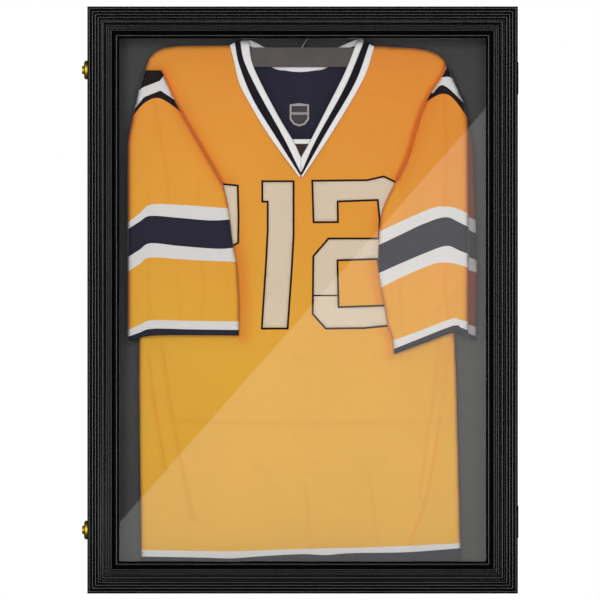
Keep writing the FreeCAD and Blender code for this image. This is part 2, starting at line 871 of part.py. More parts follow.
def pan_screws(name, places, face, length):
    """A group of pan-head screws that point into the case from a rear face."""
    screws = []
    for number, (x, z) in enumerate(places):
        screws.append(turned("%s_%d" % (name, number), "y", (x, z), [
            ("%s - %s" % (face, length), "0"),
            ("%s - %s" % (face, length), "screw_radius"),
            (face, "screw_radius"),
            (face, "screw_head_radius"),
            (face + " + 0.8", "screw_head_radius - screw_head_round"),
            (face + " + 0.8", "0"),
        ]))
    return keep(group(name, screws), name)


def screw_holes(name, places, span):
    """Clearance holes along Y for a group of screws."""
    return [rod("%s%d" % (name, number), "y", (x, z), span, "screw_radius + hole_play")
            for number, (x, z) in enumerate(places)]


def wall_bumpers():
    """Four rubber discs that hold the case off the wall."""
    discs = []
    for number, (side, end) in enumerate((("", ""), ("", "-"), ("-", ""), ("-", "-"))):
        x = "%s(half_width - bumper_inset)" % side
        z = "%s(half_height - bumper_inset)" % end
        discs.append(turned("bumper_%d" % number, "y", (x, z), [
            (minus("case_back"), "0"),
            (minus("case_back"), "bumper_radius"),
            ("-1", "bumper_radius"),
            ("0", "bumper_radius - 1"),
            ("0", "0"),
        ]))
    keep(group("wall_bumpers", discs), "wall_bumpers")


# ---------------------------------------------------------------- case

def case_rails(board_places, strap_places):
    """The four mitred case rails with everything let into them."""
    holes = [rod(label + "_hole", axis, at, span, radius + " + hole_play")
             for label, axis, at, span, radius in corner_nails("case_nail", "15", "36", "8")]
    holes += screw_holes("board_hole", board_places, ("-board_back - wood_screw_room", "-board_back"))
    holes += screw_holes("strap_hole", strap_places, ("-case_back - wood_screw_room", "-case_back"))
    face = minus("hinge_depth") + " + leaf_gap / 2"
    faces = ("-case_front", face + " + leaf_thickness")
    holes += hinge_room("case_hinge", (faces[0] + " - 1", faces[1]))
    for end, centre in both_ends("hinge_height").items():
        holes += screw_holes("case_leaf_hole_%s" % end, hinge_screw_places(centre),
                             (face, face + " + leaf_screw_room"))
    for end, centre in both_ends("lock_height").items():
        holes.append(rod("lock_hole_" + end, "x", (minus("lock_depth"), centre),
                         ("-half_width - 1", "-inner_half_width + 1"),
                         "barrel_radius + hole_play"))
    for side in RAIL_TURNS:
        name = "case_%s_rail" % side
        solid = rail(name + "_solid", side, case_section, "case_wall")
        keep(cut(name, solid, holes), name)


def backing(board_places):
    """The back board and the felt in front of it, both drilled for the screws."""
    for name, span in (("back_board", ("-board_front", "-board_back")),
                       ("backing_felt", ("-felt_front", "-board_front"))):
        sheet_block = block(name + "_sheet", ("-board_half_width", "board_half_width"), span,
                            ("-board_half_height", "board_half_height"))
        holes = screw_holes(name + "_hole", board_places + [("0", "peg_height")], span)
        keep(cut(name, sheet_block, holes), name)


def dust_seal():
    """A thin foam rim on the front of the case, just outside its opening."""
    span = ("-case_front - seal_thickness", "-case_front")
    rim = "seal_play"
    outer = block("seal_outer",
                  ("-inner_half_width - seal_width - %s" % rim,
                   "inner_half_width + seal_width + %s" % rim), span,
                  ("-inner_half_height - seal_width - %s" % rim,
                   "inner_half_height + seal_width + %s" % rim))
    inner = block("seal_inner",
                  ("-inner_half_width - %s" % rim, "inner_half_width + %s" % rim), span,
                  ("-inner_half_height - %s" % rim, "inner_half_height + %s" % rim))
    keep(cut("dust_seal", outer, [inner]), "dust_seal")


def hanger_peg():
    """The peg on the back board, with a flange at its foot and a knob at its end."""
    foot = minus("felt_front")
    neck = "-(felt_front + peg_reach)"
    tip = "-(felt_front + peg_reach + peg_knob)"
    peg = turned("hanger_peg_turned", "y", ("0", "peg_height"), [
        (tip, "0"),
        (tip, "peg_knob_radius - 1"),
        (tip + " + 1", "peg_knob_radius"),
        (neck, "peg_knob_radius"),
        (neck, "peg_radius"),
        (foot + " - peg_flange", "peg_radius"),
        (foot + " - peg_flange", "peg_flange_radius"),
        (foot, "peg_flange_radius"),
        (foot, "0"),
    ])
    hole = screw_holes("hanger_peg_hole", [("0", "peg_height")], ("-felt_front - 9.5", "-felt_front"))
    keep(cut("hanger_peg", peg, hole), "hanger_peg")


# ---------------------------------------------------------------- door

def door_rails(holes):
    """The four mitred reeded rails with everything let into them."""
    for side in RAIL_TURNS:
        name = "door_%s_rail" % side
        solid = rail(name + "_solid", side, door_section, "moulding_width")
        keep(cut(name, solid, holes), name)


def door_holes():
    """What nails, pins, screws and hinges take out of the door rails."""
    holes = [rod(label + "_hole", axis, at, span, radius + " + hole_play")
             for label, axis, at, span, radius in
             corner_nails("door_nail", "door_back + 4", "door_back + 9", "14")]
    holes += [rod("pin_hole%d" % number, axis, at, span, "glazing_pin_radius + hole_play")
              for number, (axis, at, span) in enumerate(glazing_pins())]
    face = minus("hinge_depth") + " - leaf_gap / 2"
    holes += hinge_room("door_hinge", (face + " - leaf_thickness", "-door_back + 1"))
    for end, centre in both_ends("hinge_height").items():
        holes += screw_holes("door_leaf_hole_%s" % end, hinge_screw_places(centre),
                             (face + " - leaf_screw_room", face))
    for end, centre in both_ends("lock_height").items():
        holes += screw_holes("strike_hole_%s" % end, strike_screw_places(centre),
                             ("-door_back - 9", "-door_back"))
    return holes


def glazing():
    """The clear panel, and four beads and their pins that hold it in the rebate."""
    keep(block("clear_panel", ("-glass_half_width", "glass_half_width"),
               ("-glass_front", "-glass_back"), ("-glass_half_height", "glass_half_height")),
         "clear_panel")
    wall_x = "(sight_half_width + glass_rebate)"
    wall_z = "(sight_half_height + glass_rebate)"
    depth = ("-glass_back", "-glass_back + glazing_bead_depth")
    ends = ("-%s + glazing_bead_width" % wall_z, "%s - glazing_bead_width" % wall_z)
    beads = {
        "left": (("-" + wall_x, "-%s + glazing_bead_width" % wall_x), ends),
        "right": (("%s - glazing_bead_width" % wall_x, wall_x), ends),
        "top": (("-" + wall_x, wall_x), ("%s - glazing_bead_width" % wall_z, wall_z)),
        "bottom": (("-" + wall_x, wall_x), ("-" + wall_z, "-%s + glazing_bead_width" % wall_z)),
    }
    for side, (x, z) in beads.items():
        name = "glazing_bead_" + side
        strip = block(name + "_strip", x, depth, z)
        holes = [rod("%s_hole%d" % (name, number), axis, at, span, "glazing_pin_radius + hole_play")
                 for number, (axis, at, span) in enumerate(glazing_pins())]
        keep(cut(name, strip, holes), name)
    pins = [rod("glazing_pin_%d" % number, axis, at, span, "glazing_pin_radius")
            for number, (axis, at, span) in enumerate(glazing_pins())]
    keep(group("glazing_pins", pins), "glazing_pins")


# ---------------------------------------------------------------- hanger

def bar_outline(play):
    """The hanger bar seen from the front, grown by a play."""
    low = "bar_bottom - %s" % play
    top = "bar_top + %s" % play
    end = "(bar_half_length + %s)" % play
    return [
        ("-" + end, low), (end, low), (end, "bar_top - bar_tip - 6 + %s" % play),
        ("0.82 * " + end, "bar_top - 5 + %s" % play), ("0.35 * " + end, top),
        ("-0.35 * " + end, top), ("-0.82 * " + end, "bar_top - 5 + %s" % play),
        ("-" + end, "bar_top - bar_tip - 6 + %s" % play),
    ]


def hanger_bar():
    """The flat bar, bored for the hook."""
    bar = slab("hanger_bar_solid", bar_outline("0"), "hanger_depth - bar_thickness / 2", "bar_thickness")
    bore = rod("hanger_bar_bore", "z", ("0", minus("hanger_depth")),
               ("bar_top - hook_insert - 0.5", "bar_top"), "hook_wire + hole_play")
    keep(cut("hanger_bar", bar, [bore]), "hanger_bar")


def hanger_hook():
    """A wire hook: out of the bar, off to one side, and round over the peg."""
    centre = VECTOR(0, 0, measure("hook_centre"))
    bend = measure("hook_bend")
    foot = VECTOR(0, 0, measure("bar_top - hook_insert"))
    turn = VECTOR(0, 0, measure("bar_top + 2"))
    angle = math.acos(bend / (centre.z - turn.z))

    def on_bend(degrees):
        way = math.radians(degrees)
        return centre + VECTOR(math.cos(way), 0, math.sin(way)) * bend

    first = math.degrees(angle) - 90
    edges = bent_path([foot, turn, on_bend(first)], 6)
    last = 205
    edges.append(Part.Arc(on_bend(first), on_bend((first + last) / 2), on_bend(last)).toShape())
    solid = wire_solid(edges, foot, VECTOR(0, 0, 1), measure("hook_wire"))
    shape_node("hanger_hook", solid, y=minus("hanger_depth"))


# ---------------------------------------------------------------- jersey

# Outlines of the jersey's plain solids, seen from the front: X and Z.
BODY_OUTLINE = [
    (-247, -409), (244, -409), (240, -277), (236, -120), (233, -50), (222, 355),
    (217, 369), (203, 381), (180, 386), (100, 391), (-115, 391), (-196, 390),
    (-219, 385), (-233, 376), (-241, 358), (-251, -66), (-250, -200),
]
NECK_OUTLINE = [(-84, 400), (-84, 396), (91, 396), (91, 400)]
NECK_RADIUS = 117.6
V_OUTLINE = [(-100, 400), (-2.5, 205), (98, 400)]
COLLAR_OUTLINE = [
    (-112, 390), (-2.5, 190), (109, 388), (89, 394), (11, 247), (-16, 247), (-86, 396),
]
LEFT_SLEEVE_OUTLINE = [
    (-268, -66), (-98, -54), (-104, 30), (-123, 180), (-188, 293), (-214, 346),
    (-242, 350), (-250, 320), (-268, 230),
]
RIGHT_SLEEVE_OUTLINE = [
    (141, -83), (233, -50), (266, -62), (268, 80), (254, 270), (231, 337), (222, 352),
    (212, 344), (180, 284), (146, 187), (121, 130), (117, 40), (131, -20),
]


def spoken(points):
    """Points of the jersey's outlines as expression texts at the cloth's size."""
    return [tuple("%s * cloth_size" % number for number in point) for point in points]


def jersey():
    """The jersey as plain closed solids: a body open at the neck, a collar and two sleeves."""
    body = slab("jersey_body_solid", spoken(BODY_OUTLINE), "body_back", "body_thickness")
    room = slab("jersey_bar_room", bar_outline("cloth_play"),
                "hanger_depth - bar_thickness / 2 - cloth_play", "bar_thickness + 2 * cloth_play")
    neck_points = spoken(NECK_OUTLINE)
    neck_points[1] = neck_points[1] + ("-%s * cloth_size" % NECK_RADIUS,)
    neck = slab("jersey_neck", neck_points, "body_back - 1", "body_thickness + 2")
    opening = slab("jersey_opening", spoken(V_OUTLINE), "body_back + 2.6", "body_thickness")
    keep(cut("jersey_body", body, [room, neck, opening]), "jersey_body")
    keep(slab("jersey_collar", spoken(COLLAR_OUTLINE), "collar_back", "collar_thickness"),
         "jersey_collar")
    keep(slab("jersey_sleeve_left", spoken(LEFT_SLEEVE_OUTLINE), "sleeve_back", "sleeve_thickness"),
         "jersey_sleeve_left")
    keep(slab("jersey_sleeve_right", spoken(RIGHT_SLEEVE_OUTLINE), "sleeve_back",
              "sleeve_thickness"), "jersey_sleeve_right")


# ---------------------------------------------------------------- assembly

def nail_group(name, stem, depths, inset):
    """The nails of one frame as a group."""
    nails = [rod(label, axis, at, span, radius)
             for label, axis, at, span, radius in corner_nails(stem, depths[0], depths[1], inset)]
    keep(group(name, nails), name)


def build():
    """Make every sub-part."""
    board_places = board_screws()
    strap_places = strap_screw_places("") + strap_screw_places("-")
    case_rails(board_places, strap_places)
    backing(board_places)
    nail_group("case_corner_nails", "case_pin", ("15", "36"), "8")
    pan_screws("back_board_screws", board_places, minus("board_back"), "14")
    pan_screws("strap_screws", strap_places, "-case_back + strap_thickness", "14")
    pan_screws("peg_screw", [("0", "peg_height")], minus("board_back"), "14")
    dust_seal()
    hanger_peg()
    wall_bumpers()
    for side, sign in (("left", -1), ("right", 1)):
        strap_hanger(side, "-" if sign < 0 else "")
        strap_ring(side, sign)
    for end, centre in both_ends("hinge_height").items():
        hinge(end, centre)
    hinge_screws("hinge_case_screws", minus("hinge_depth") + " + leaf_gap / 2", "+")
    hinge_screws("hinge_door_screws", minus("hinge_depth") + " - leaf_gap / 2", "-")
    for end, centre in both_ends("lock_height").items():
        lock(end, centre)
        strike(end, centre)
    strike_screws()
    door_rails(door_holes())
    nail_group("door_corner_nails", "door_pin", ("door_back + 4", "door_back + 9"), "14")
    glazing()
    hanger_bar()
    hanger_hook()
    jersey()


def check():
    """Stop if any object failed to build or any sub-part is not a sound solid."""
    document.recompute()
    for item in document.Objects:
        if "Invalid" in item.State or "Error" in item.State:
            raise RuntimeError("%s did not build: %s" % (item.Label, item.State))
    for item in nodes:
        if item.Shape.isNull() or not item.Shape.isValid():
            raise RuntimeError("%s is not a valid shape" % item.Label)
        if item.Shape.Volume <= 0 or not item.Shape.Solids:
            raise RuntimeError("%s has no solid" % item.Label)


def export():
    """Write each sub-part to its own file."""
    os.makedirs("parts", exist_ok=True)
    for item in nodes:
        item.Shape.exportStep("parts/%s.step" % item.Label)
        box = item.Shape.BoundBox
        print("%-22s %2d solids %11.1f mm3  x %.1f..%.1f  y %.1f..%.1f  z %.1f..%.1f" % (
            item.Label, len(item.Shape.Solids), item.Shape.Volume,
            box.XMin, box.XMax, box.YMin, box.YMax, box.ZMin, box.ZMax))


build()
check()
export()
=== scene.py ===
"""Looks of the wall display case: its moulding, brass, felt and clear panel, and the jersey in it.

Outlines of cloth are given in millimetres from the middle of the case, X to the right and Z up,
and become metres when a mesh is made. Depths run along Y, 0 at the wall and negative towards the
front, and the layers keep to the boxes of the model's own nodes.
"""

import math

import bpy
import numpy as np
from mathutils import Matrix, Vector, geometry, noise


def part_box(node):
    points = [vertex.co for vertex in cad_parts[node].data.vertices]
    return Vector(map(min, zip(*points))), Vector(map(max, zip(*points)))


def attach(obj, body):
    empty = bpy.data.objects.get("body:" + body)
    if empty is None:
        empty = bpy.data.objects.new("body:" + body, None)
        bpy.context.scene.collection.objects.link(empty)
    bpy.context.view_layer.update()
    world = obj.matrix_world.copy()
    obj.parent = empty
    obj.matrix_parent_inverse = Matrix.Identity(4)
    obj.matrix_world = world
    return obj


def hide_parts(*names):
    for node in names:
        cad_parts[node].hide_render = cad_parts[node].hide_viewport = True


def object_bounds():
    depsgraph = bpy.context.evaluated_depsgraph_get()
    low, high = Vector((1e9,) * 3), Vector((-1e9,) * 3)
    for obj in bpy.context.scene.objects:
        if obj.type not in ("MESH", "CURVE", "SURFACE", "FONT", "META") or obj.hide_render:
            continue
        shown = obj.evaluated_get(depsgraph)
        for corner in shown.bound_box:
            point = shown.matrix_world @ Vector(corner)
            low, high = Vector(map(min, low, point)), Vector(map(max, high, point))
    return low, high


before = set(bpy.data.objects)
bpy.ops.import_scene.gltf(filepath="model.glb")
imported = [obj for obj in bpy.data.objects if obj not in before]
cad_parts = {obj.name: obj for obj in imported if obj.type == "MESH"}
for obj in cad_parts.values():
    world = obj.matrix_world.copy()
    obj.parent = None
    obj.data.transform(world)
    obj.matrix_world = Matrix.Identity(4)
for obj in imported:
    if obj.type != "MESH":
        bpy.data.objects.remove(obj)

CAD_BOUNDS = [list(corner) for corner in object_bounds()]
MM = 0.001
CLOTH_SCALE = 1.005  # the cloth's full size over its outline's
CLOTH_THICKNESS = 0.8
APPLIQUE_THICKNESS = 0.5
PATCH_THICKNESS = 0.7
MIX_INPUTS = (0, 6, 7)  # of a colour Mix node: the factor and the two colours
MIX_OUTPUT = 2


# ---- node trees

class Tree:
    """A material's node tree with short calls for the nodes used here."""

    def __init__(self, name, **settings):
        self.material = bpy.data.materials.new(name)
        self.material.use_nodes = True
        self.nodes = self.material.node_tree.nodes
        self.links = self.material.node_tree.links
        self.shader = self.nodes["Principled BSDF"]
        self.set(self.shader, **settings)

    def plug(self, socket, value):
        """Link a socket to the one given, or give it a plain value."""
        if isinstance(value, bpy.types.NodeSocket):
            self.links.new(value, socket)
        else:
            socket.default_value = value

    def set(self, node, **values):
        """Plug values into sockets by their names."""
        for name, value in values.items():
            self.plug(node.inputs[SOCKETS.get(name, name)], value)

    def add(self, kind, **values):
        """A new shader node with some of its sockets set."""
        node = self.nodes.new("ShaderNode" + kind)
        self.set(node, **values)
        return node

    def place(self, scale=(1, 1, 1)):
        """The object's own coordinates, scaled."""
        coordinates = self.add("TexCoord").outputs["Object"]
        mapping = self.add("Mapping", Vector=coordinates, Scale=scale)
        return mapping.outputs["Vector"]

    def grain(self, scale, detail=3.0, roughness=0.5, stretch=(1, 1, 1)):
        """Fractal noise from 0 to 1."""
        node = self.add("TexNoise", Vector=self.place(stretch), Scale=scale, Detail=detail,
                        Roughness=roughness)
        return node.outputs["Fac"]

    def math(self, operation, first, second=0.0, third=0.0):
        """The result of one operation on numbers or sockets."""
        node = self.nodes.new("ShaderNodeMath")
        node.operation = operation
        for socket, value in zip(node.inputs, (first, second, third)):
            self.plug(socket, value)
        return node.outputs[0]

    def ramp(self, value, stops, constant=False):
        """Colours or greys over a value; stops are (position, colour or grey)."""
        node = self.add("ValToRGB", Fac=value)
        ramp = node.color_ramp
        ramp.interpolation = "CONSTANT" if constant else "LINEAR"
        while len(ramp.elements) < len(stops):
            ramp.elements.new(1.0)
        for element, (position, colour) in zip(ramp.elements, stops):
            element.position = position
            element.color = rgba(colour)
        return node.outputs["Color"]

    def mix(self, amount, first, second, mode="MIX"):
        """Two colours blended by the amount."""
        node = self.nodes.new("ShaderNodeMix")
        node.data_type = "RGBA"
        node.blend_type = mode
        for index, value in zip(MIX_INPUTS, (amount, first, second)):
            self.plug(node.inputs[index], value)
        return node.outputs[MIX_OUTPUT]

    def attribute(self, name):
        """A number stored on the mesh's points or faces."""
        node = self.nodes.new("ShaderNodeAttribute")
        node.attribute_name = name
        return node.outputs["Fac"]

    def bump(self, height, strength, distance, under=None):
        """A bumped normal, on top of the one under it if there is one."""
        node = self.add("Bump", Height=height, Strength=strength, Distance=distance)
        if under is not None:
            self.links.new(under, node.inputs["Normal"])
        return node.outputs["Normal"]

    def colour(self, value):
        self.set(self.shader, base=value)

    def normal(self, value):
        self.links.new(value, self.shader.inputs["Normal"])

    def rough(self, value):
        self.set(self.shader, rough=value)


SOCKETS = {
    "base": "Base Color",
    "rough": "Roughness",
    "metal": "Metallic",
    "specular": "Specular IOR Level",
    "sheen": "Sheen Weight",
    "sheen_rough": "Sheen Roughness",
}


def rgba(colour):
    """A colour or a grey with full alpha."""
    if isinstance(colour, (int, float)):
        return (colour, colour, colour, 1.0)
    return tuple(colour[:3]) + (1.0,)


# ---- frame materials

def lacquer(name, along):
    """Black satin lacquer over wood, whose grain shows faintly along the rail."""
    tree = Tree(name, specular=0.36)
    stretch = [60.0, 60.0, 60.0]
    stretch["xyz".index(along)] = 0.6
    pores = tree.grain(9.0, 2.0, stretch=stretch)
    haze = tree.grain(5.0)
    tree.colour(tree.ramp(pores, [(0.3, (0.0006, 0.0006, 0.0007)), (0.75, (0.0016, 0.0015, 0.0016))]))
    dull = tree.math("MULTIPLY_ADD", haze, 0.05, 0.07)
    tree.rough(tree.math("MULTIPLY_ADD", pores, 0.02, dull))
    tree.normal(tree.bump(pores, 0.015, 0.00003))
    return tree.material


def hardboard():
    """Pressed brown fibre board."""
    tree = Tree("hardboard", specular=0.25, rough=0.82)
    fibre = tree.grain(260.0, 5.0, 0.7)
    patch = tree.grain(9.0, 4.0)
    fine = tree.ramp(fibre, [(0.25, (0.10, 0.058, 0.030)), (0.8, (0.22, 0.135, 0.072))])
    tree.colour(tree.mix(0.35, fine, tree.ramp(patch, [(0.3, (0.11, 0.065, 0.034)),
                                                       (0.7, (0.19, 0.12, 0.068))])))
    tree.normal(tree.bump(fibre, 0.4, 0.0004))
    return tree.material


def felt():
    """Dark grey felt: matted fibres with a soft sheen."""
    tree = Tree("felt", specular=0.12, rough=0.95, sheen=0.25, sheen_rough=0.5)
    hair = tree.grain(900.0, 4.0, 0.75, (1.0, 1.0, 0.35))
    tuft = tree.grain(110.0, 4.0, 0.6)
    cloud = tree.grain(4.0, 2.0)
    fine = tree.ramp(hair, [(0.25, (0.044, 0.044, 0.044)), (0.8, (0.106, 0.105, 0.106))])
    soft = tree.ramp(cloud, [(0.3, 0.80), (0.7, 1.0)])
    tree.colour(tree.mix(1.0, fine, soft, "MULTIPLY"))
    tree.normal(tree.bump(hair, 0.5, 0.0003, tree.bump(tuft, 0.35, 0.0008)))
    return tree.material


def brass(name, bright, dark, spots):
    """Brass with a worn polish: brighter metal, darker tarnish in patches."""
    tree = Tree(name, metal=1.0)
    tarnish = tree.grain(spots, 5.0, 0.65)
    scratch = tree.grain(700.0, 2.0, stretch=(0.08, 1.0, 1.0))
    tree.colour(tree.ramp(tarnish, [(0.38, bright), (0.72, dark)]))
    tree.rough(tree.math("MULTIPLY_ADD", tarnish, 0.25, 0.42))
    tree.normal(tree.bump(scratch, 0.08, 0.0001))
    return tree.material


def steel(name, colour, low, spread):
    """Plated steel with fine drawn scratches and uneven polish."""
    tree = Tree(name, metal=1.0)
    blotch = tree.grain(160.0, 4.0, 0.6)
    scratch = tree.grain(900.0, 2.0, stretch=(1.0, 1.0, 0.05))
    darker = tuple(0.7 * part for part in colour)
    tree.colour(tree.ramp(blotch, [(0.35, darker), (0.7, colour)]))
    tree.rough(tree.math("MULTIPLY_ADD", blotch, spread, low))
    tree.normal(tree.bump(scratch, 0.06, 0.0001))
    return tree.material


def moulded(name, dark, light, rough):
    """Moulded plastic or rubber with a fine pebbled skin."""
    tree = Tree(name, specular=0.35)
    pebble = tree.grain(1500.0, 2.0)
    cloud = tree.grain(35.0)
    tree.colour(tree.ramp(cloud, [(0.3, dark), (0.7, light)]))
    tree.rough(tree.math("MULTIPLY_ADD", cloud, 0.12, rough))
    tree.normal(tree.bump(pebble, 0.12, 0.0001))
    return tree.material


MIRRORED_HEAD_ON = 0.04


def clear_panel():
    """Clear acrylic: nearly all light passes head on, and more is mirrored at a slant."""
    tree = Tree("clear_acrylic")
    tree.nodes.remove(tree.shader)
    smear = tree.grain(14.0, 4.0, 0.6)
    clear = tree.add("BsdfTransparent", Color=(0.985, 0.99, 0.99, 1))
    gloss = tree.add("BsdfGlossy", Roughness=tree.math("MULTIPLY_ADD", smear, 0.012, 0.004))
    facing = tree.add("LayerWeight", Blend=0.5).outputs["Facing"]
    slant = tree.math("POWER", facing, 5.0)
    share = tree.math("MULTIPLY_ADD", slant, 1 - MIRRORED_HEAD_ON, MIRRORED_HEAD_ON)
    mix = tree.nodes.new("ShaderNodeMixShader")
    for socket, source in zip(mix.inputs, (share, clear.outputs[0], gloss.outputs[0])):
        tree.links.new(source, socket)
    tree.links.new(mix.outputs[0], tree.nodes["Material Output"].inputs["Surface"])
    return tree.material


def paint(node, material):
    """Give a model node a new material in every slot."""
    mesh_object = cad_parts[node]
    for slot in mesh_object.material_slots:
        slot.material = material


def paint_frame():
    """Materials of every model node that shows."""
    upright = lacquer("lacquer_upright", "z")
    level = lacquer("lacquer_level", "x")
    worn_brass = brass("lock_brass", (0.90, 0.66, 0.07), (0.66, 0.46, 0.04), 120.0)
    # painted shade: the hinges get the same brass as the locks painted much darker, as if seen in shade
    shaded_hinge_brass = brass("hinge_brass", (0.20, 0.17, 0.07), (0.09, 0.075, 0.035), 160.0)
    zinc = steel("zinc_steel", (0.60, 0.60, 0.61), 0.28, 0.3)
    black = moulded("black_plastic", (0.010, 0.010, 0.010), (0.018, 0.018, 0.018), 0.45)
    paints = {
        "back_board": hardboard(), "backing_felt": felt(),
        "dust_seal": moulded("foam", (0.012, 0.012, 0.012), (0.03, 0.03, 0.03), 0.85),
        "wall_bumpers": moulded("bumper_rubber", (0.02, 0.02, 0.021), (0.035, 0.035, 0.036), 0.7),
        "clear_panel": clear_panel(),
        "hanger_bar": moulded("bar_plastic", (0.070, 0.055, 0.056), (0.092, 0.074, 0.075), 0.5),
        "hanger_hook": steel("hook_steel", (0.34, 0.34, 0.35), 0.3, 0.2),
        "hanger_peg": steel("peg_steel", (0.05, 0.05, 0.052), 0.5, 0.2),
    }
    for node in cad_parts:
        if node in paints:
            paint(node, paints[node])
        elif node.endswith(("left_rail", "right_rail")):
            paint(node, upright)
        elif node.endswith(("top_rail", "bottom_rail")):
            paint(node, level)
        elif node.startswith("glazing_bead"):
            paint(node, black)
        elif node.startswith(("lock_body", "lock_plug")):
            paint(node, worn_brass)
        elif node.startswith("hinge_"):
            paint(node, shaded_hinge_brass)
        elif not node.startswith("jersey"):
            paint(node, zinc)


# ---- flat cutting

ROW_HEIGHT = 0.87  # of a row of even triangles, over their width
SAME_SPOT = 0.05  # points nearer than this are one


def spline(points, step=4.0):
    """A smooth line through the points, cut into short steps."""
    points = np.array(points, float)
    padded = np.vstack([2 * points[0] - points[1], points, 2 * points[-1] - points[-2]])
    made = []
    for a, b, c, d in zip(padded, padded[1:], padded[2:], padded[3:]):
        count = max(1, int(np.hypot(*(c - b)) / step))
        for t in np.arange(count) / count:
            made.append(0.5 * (2 * b + (c - a) * t + (2 * a - 5 * b + 4 * c - d) * t ** 2
                               + (3 * b - a - 3 * c + d) * t ** 3))
    made.append(points[-1])
    return np.array(made)


def straight(points, step=4.0):
    """The same for straight runs between the points."""
    made = []
    for start, end in zip(np.array(points[:-1], float), np.array(points[1:], float)):
        count = max(1, int(np.hypot(*(end - start)) / step))
        made.extend(start + (end - start) * k / count for k in range(count))
    made.append(np.array(points[-1], float))
    return np.array(made)


def ring(*lines):
    """One closed outline from lines that follow each other."""
    joined = np.vstack(lines)
    following = np.roll(joined, -1, axis=0)
    return joined[np.hypot(*(following - joined).T) > SAME_SPOT]


def away(points, line, signed=False):
    """Distance of each point from a line; signed, it is positive on the line's left."""
    start, along = line[:-1], line[1:] - line[:-1]
    best = np.full(len(points), np.inf)
    side = np.ones(len(points))
    for a, u in zip(start, along):
        offset = points - a
        t = np.clip(offset @ u / max(u @ u, 1e-9), 0, 1)
        gap = offset - t[:, None] * u
        distance = np.hypot(gap[:, 0], gap[:, 1])
        nearer = distance < best
        best[nearer] = distance[nearer]
        side[nearer] = np.sign(u[0] * offset[nearer, 1] - u[1] * offset[nearer, 0])
    return best * side if signed else best


def inside(points, outline):
    """Which points lie in a closed outline."""
    odd = np.zeros(len(points), bool)
    x, z = points[:, 0], points[:, 1]
    for (x1, z1), (x2, z2) in zip(outline, np.roll(outline, -1, axis=0)):
        crosses = (z1 > z) != (z2 > z)
        if z1 != z2:
            odd ^= crosses & (x < (x2 - x1) * (z - z1) / (z2 - z1) + x1)
    return odd


def inset(outline, amount):
    """A closed outline moved inwards by the amount, with mitred corners."""
    outline = np.array(outline, float)
    x, z = outline.T
    turning = np.sign(np.sum(x * np.roll(z, -1) - np.roll(x, -1) * z))
    before = outline - np.roll(outline, 1, axis=0)
    after = np.roll(outline, -1, axis=0) - outline
    normals = [turning * np.stack([-u[:, 1], u[:, 0]], 1) / np.hypot(*u.T)[:, None]
               for u in (before, after)]
    share = 1 + np.sum(normals[0] * normals[1], axis=1, keepdims=True)
    return outline + amount * (normals[0] + normals[1]) / share


class Pattern:
    """A flat cutting: an outline filled with even triangles that keep to the given lines."""

    def __init__(self, outline, lines=(), step=4.0):
        fixed = [outline, *lines]
        edge = len(outline)
        corners = [tuple(point) for point in outline]
        edges = [(k, (k + 1) % edge) for k in range(edge)]
        for line in lines:
            first = len(corners)
            corners.extend(tuple(point) for point in line)
            edges.extend((first + k, first + k + 1) for k in range(len(line) - 1))
        corners.extend(tuple(point) for point in self.filling(outline, fixed, step))
        made = geometry.delaunay_2d_cdt([Vector(c) for c in corners], edges,
                                        [list(range(edge))], 1, 0.01)
        self.points = np.array([tuple(v) for v in made[0]])
        self.faces = np.array([face for face in made[2] if len(face) == 3])
        a, b, c = (self.points[self.faces[:, k]] for k in range(3))
        turn = (b - a)[:, 0] * (c - a)[:, 1] - (b - a)[:, 1] * (c - a)[:, 0]
        self.faces[turn < 0] = self.faces[turn < 0][:, ::-1]
        self.centres = (a + b + c) / 3

    @staticmethod
    def filling(outline, fixed, step):
        """Grid points inside the outline that keep clear of every line."""
        low, high = outline.min(0), outline.max(0)
        rows = np.arange(low[1], high[1], step * ROW_HEIGHT)
        grid = np.array([(x + (k % 2) * step / 2, z) for k, z in enumerate(rows)
                         for x in np.arange(low[0], high[0], step)])
        grid = grid[inside(grid, outline)]
        for line in fixed:
            closed = line if line is not outline else np.vstack([line, line[:1]])
            grid = grid[away(grid, closed) > 0.5 * step]
        return grid


# ---- cloth in space

def wander(points, height, size, seed, squeeze=1.0):
    """Smooth noise over the cloth; a squeeze under 1 draws its waves out along Z."""
    spots = points * (1.0, squeeze)
    return height * np.array([noise.noise(Vector((x / size, z / size, seed))) for x, z in spots])


def crease(points, line, width, height, lean=0.0):
    """A soft ridge along a line, steeper on one side; a negative height is a valley."""
    line = spline(line, 6.0)
    across = away(points, line, signed=True)
    reach = np.where(across * lean > 0, width * (1 + abs(lean)), width)
    return height * np.exp(-(across / reach) ** 2)


def roll(points, line, radius):
    """0 at a rolled edge, rising as a quarter circle to 1 a radius away from it."""
    t = np.clip(away(points, line) / radius, 0, 1)
    return np.sqrt(np.clip(1 - (1 - t) ** 2, 0, 1))


def add_object(name, data):
    """A new object in the scene."""
    made = bpy.data.objects.new(name, data)
    bpy.context.scene.collection.objects.link(made)
    return made


def make(name, coordinates, faces, material, region=None, painted_fold_shade=None):
    """A mesh object from millimetre points, with a number per face for its colour and a number
    per point for how much painted shade of a fold it gets."""
    mesh = bpy.data.meshes.new(name)
    mesh.from_pydata((np.asarray(coordinates) * MM).tolist(), [], [list(map(int, f)) for f in faces])
    mesh.polygons.foreach_set("use_smooth", [True] * len(mesh.polygons))
    if painted_fold_shade is not None:
        # painted shade: how deep in a fold each point lies, for the cloth's colour to darken there
        depths = mesh.attributes.new("painted_fold_shade", "FLOAT", "POINT")
        depths.data.foreach_set("value", np.asarray(painted_fold_shade, np.float32))
    if region is not None:
        values = mesh.attributes.new("region", "FLOAT", "FACE")
        values.data.foreach_set("value", np.asarray(region, np.float32))
    mesh.materials.append(material)
    return add_object(name, mesh)


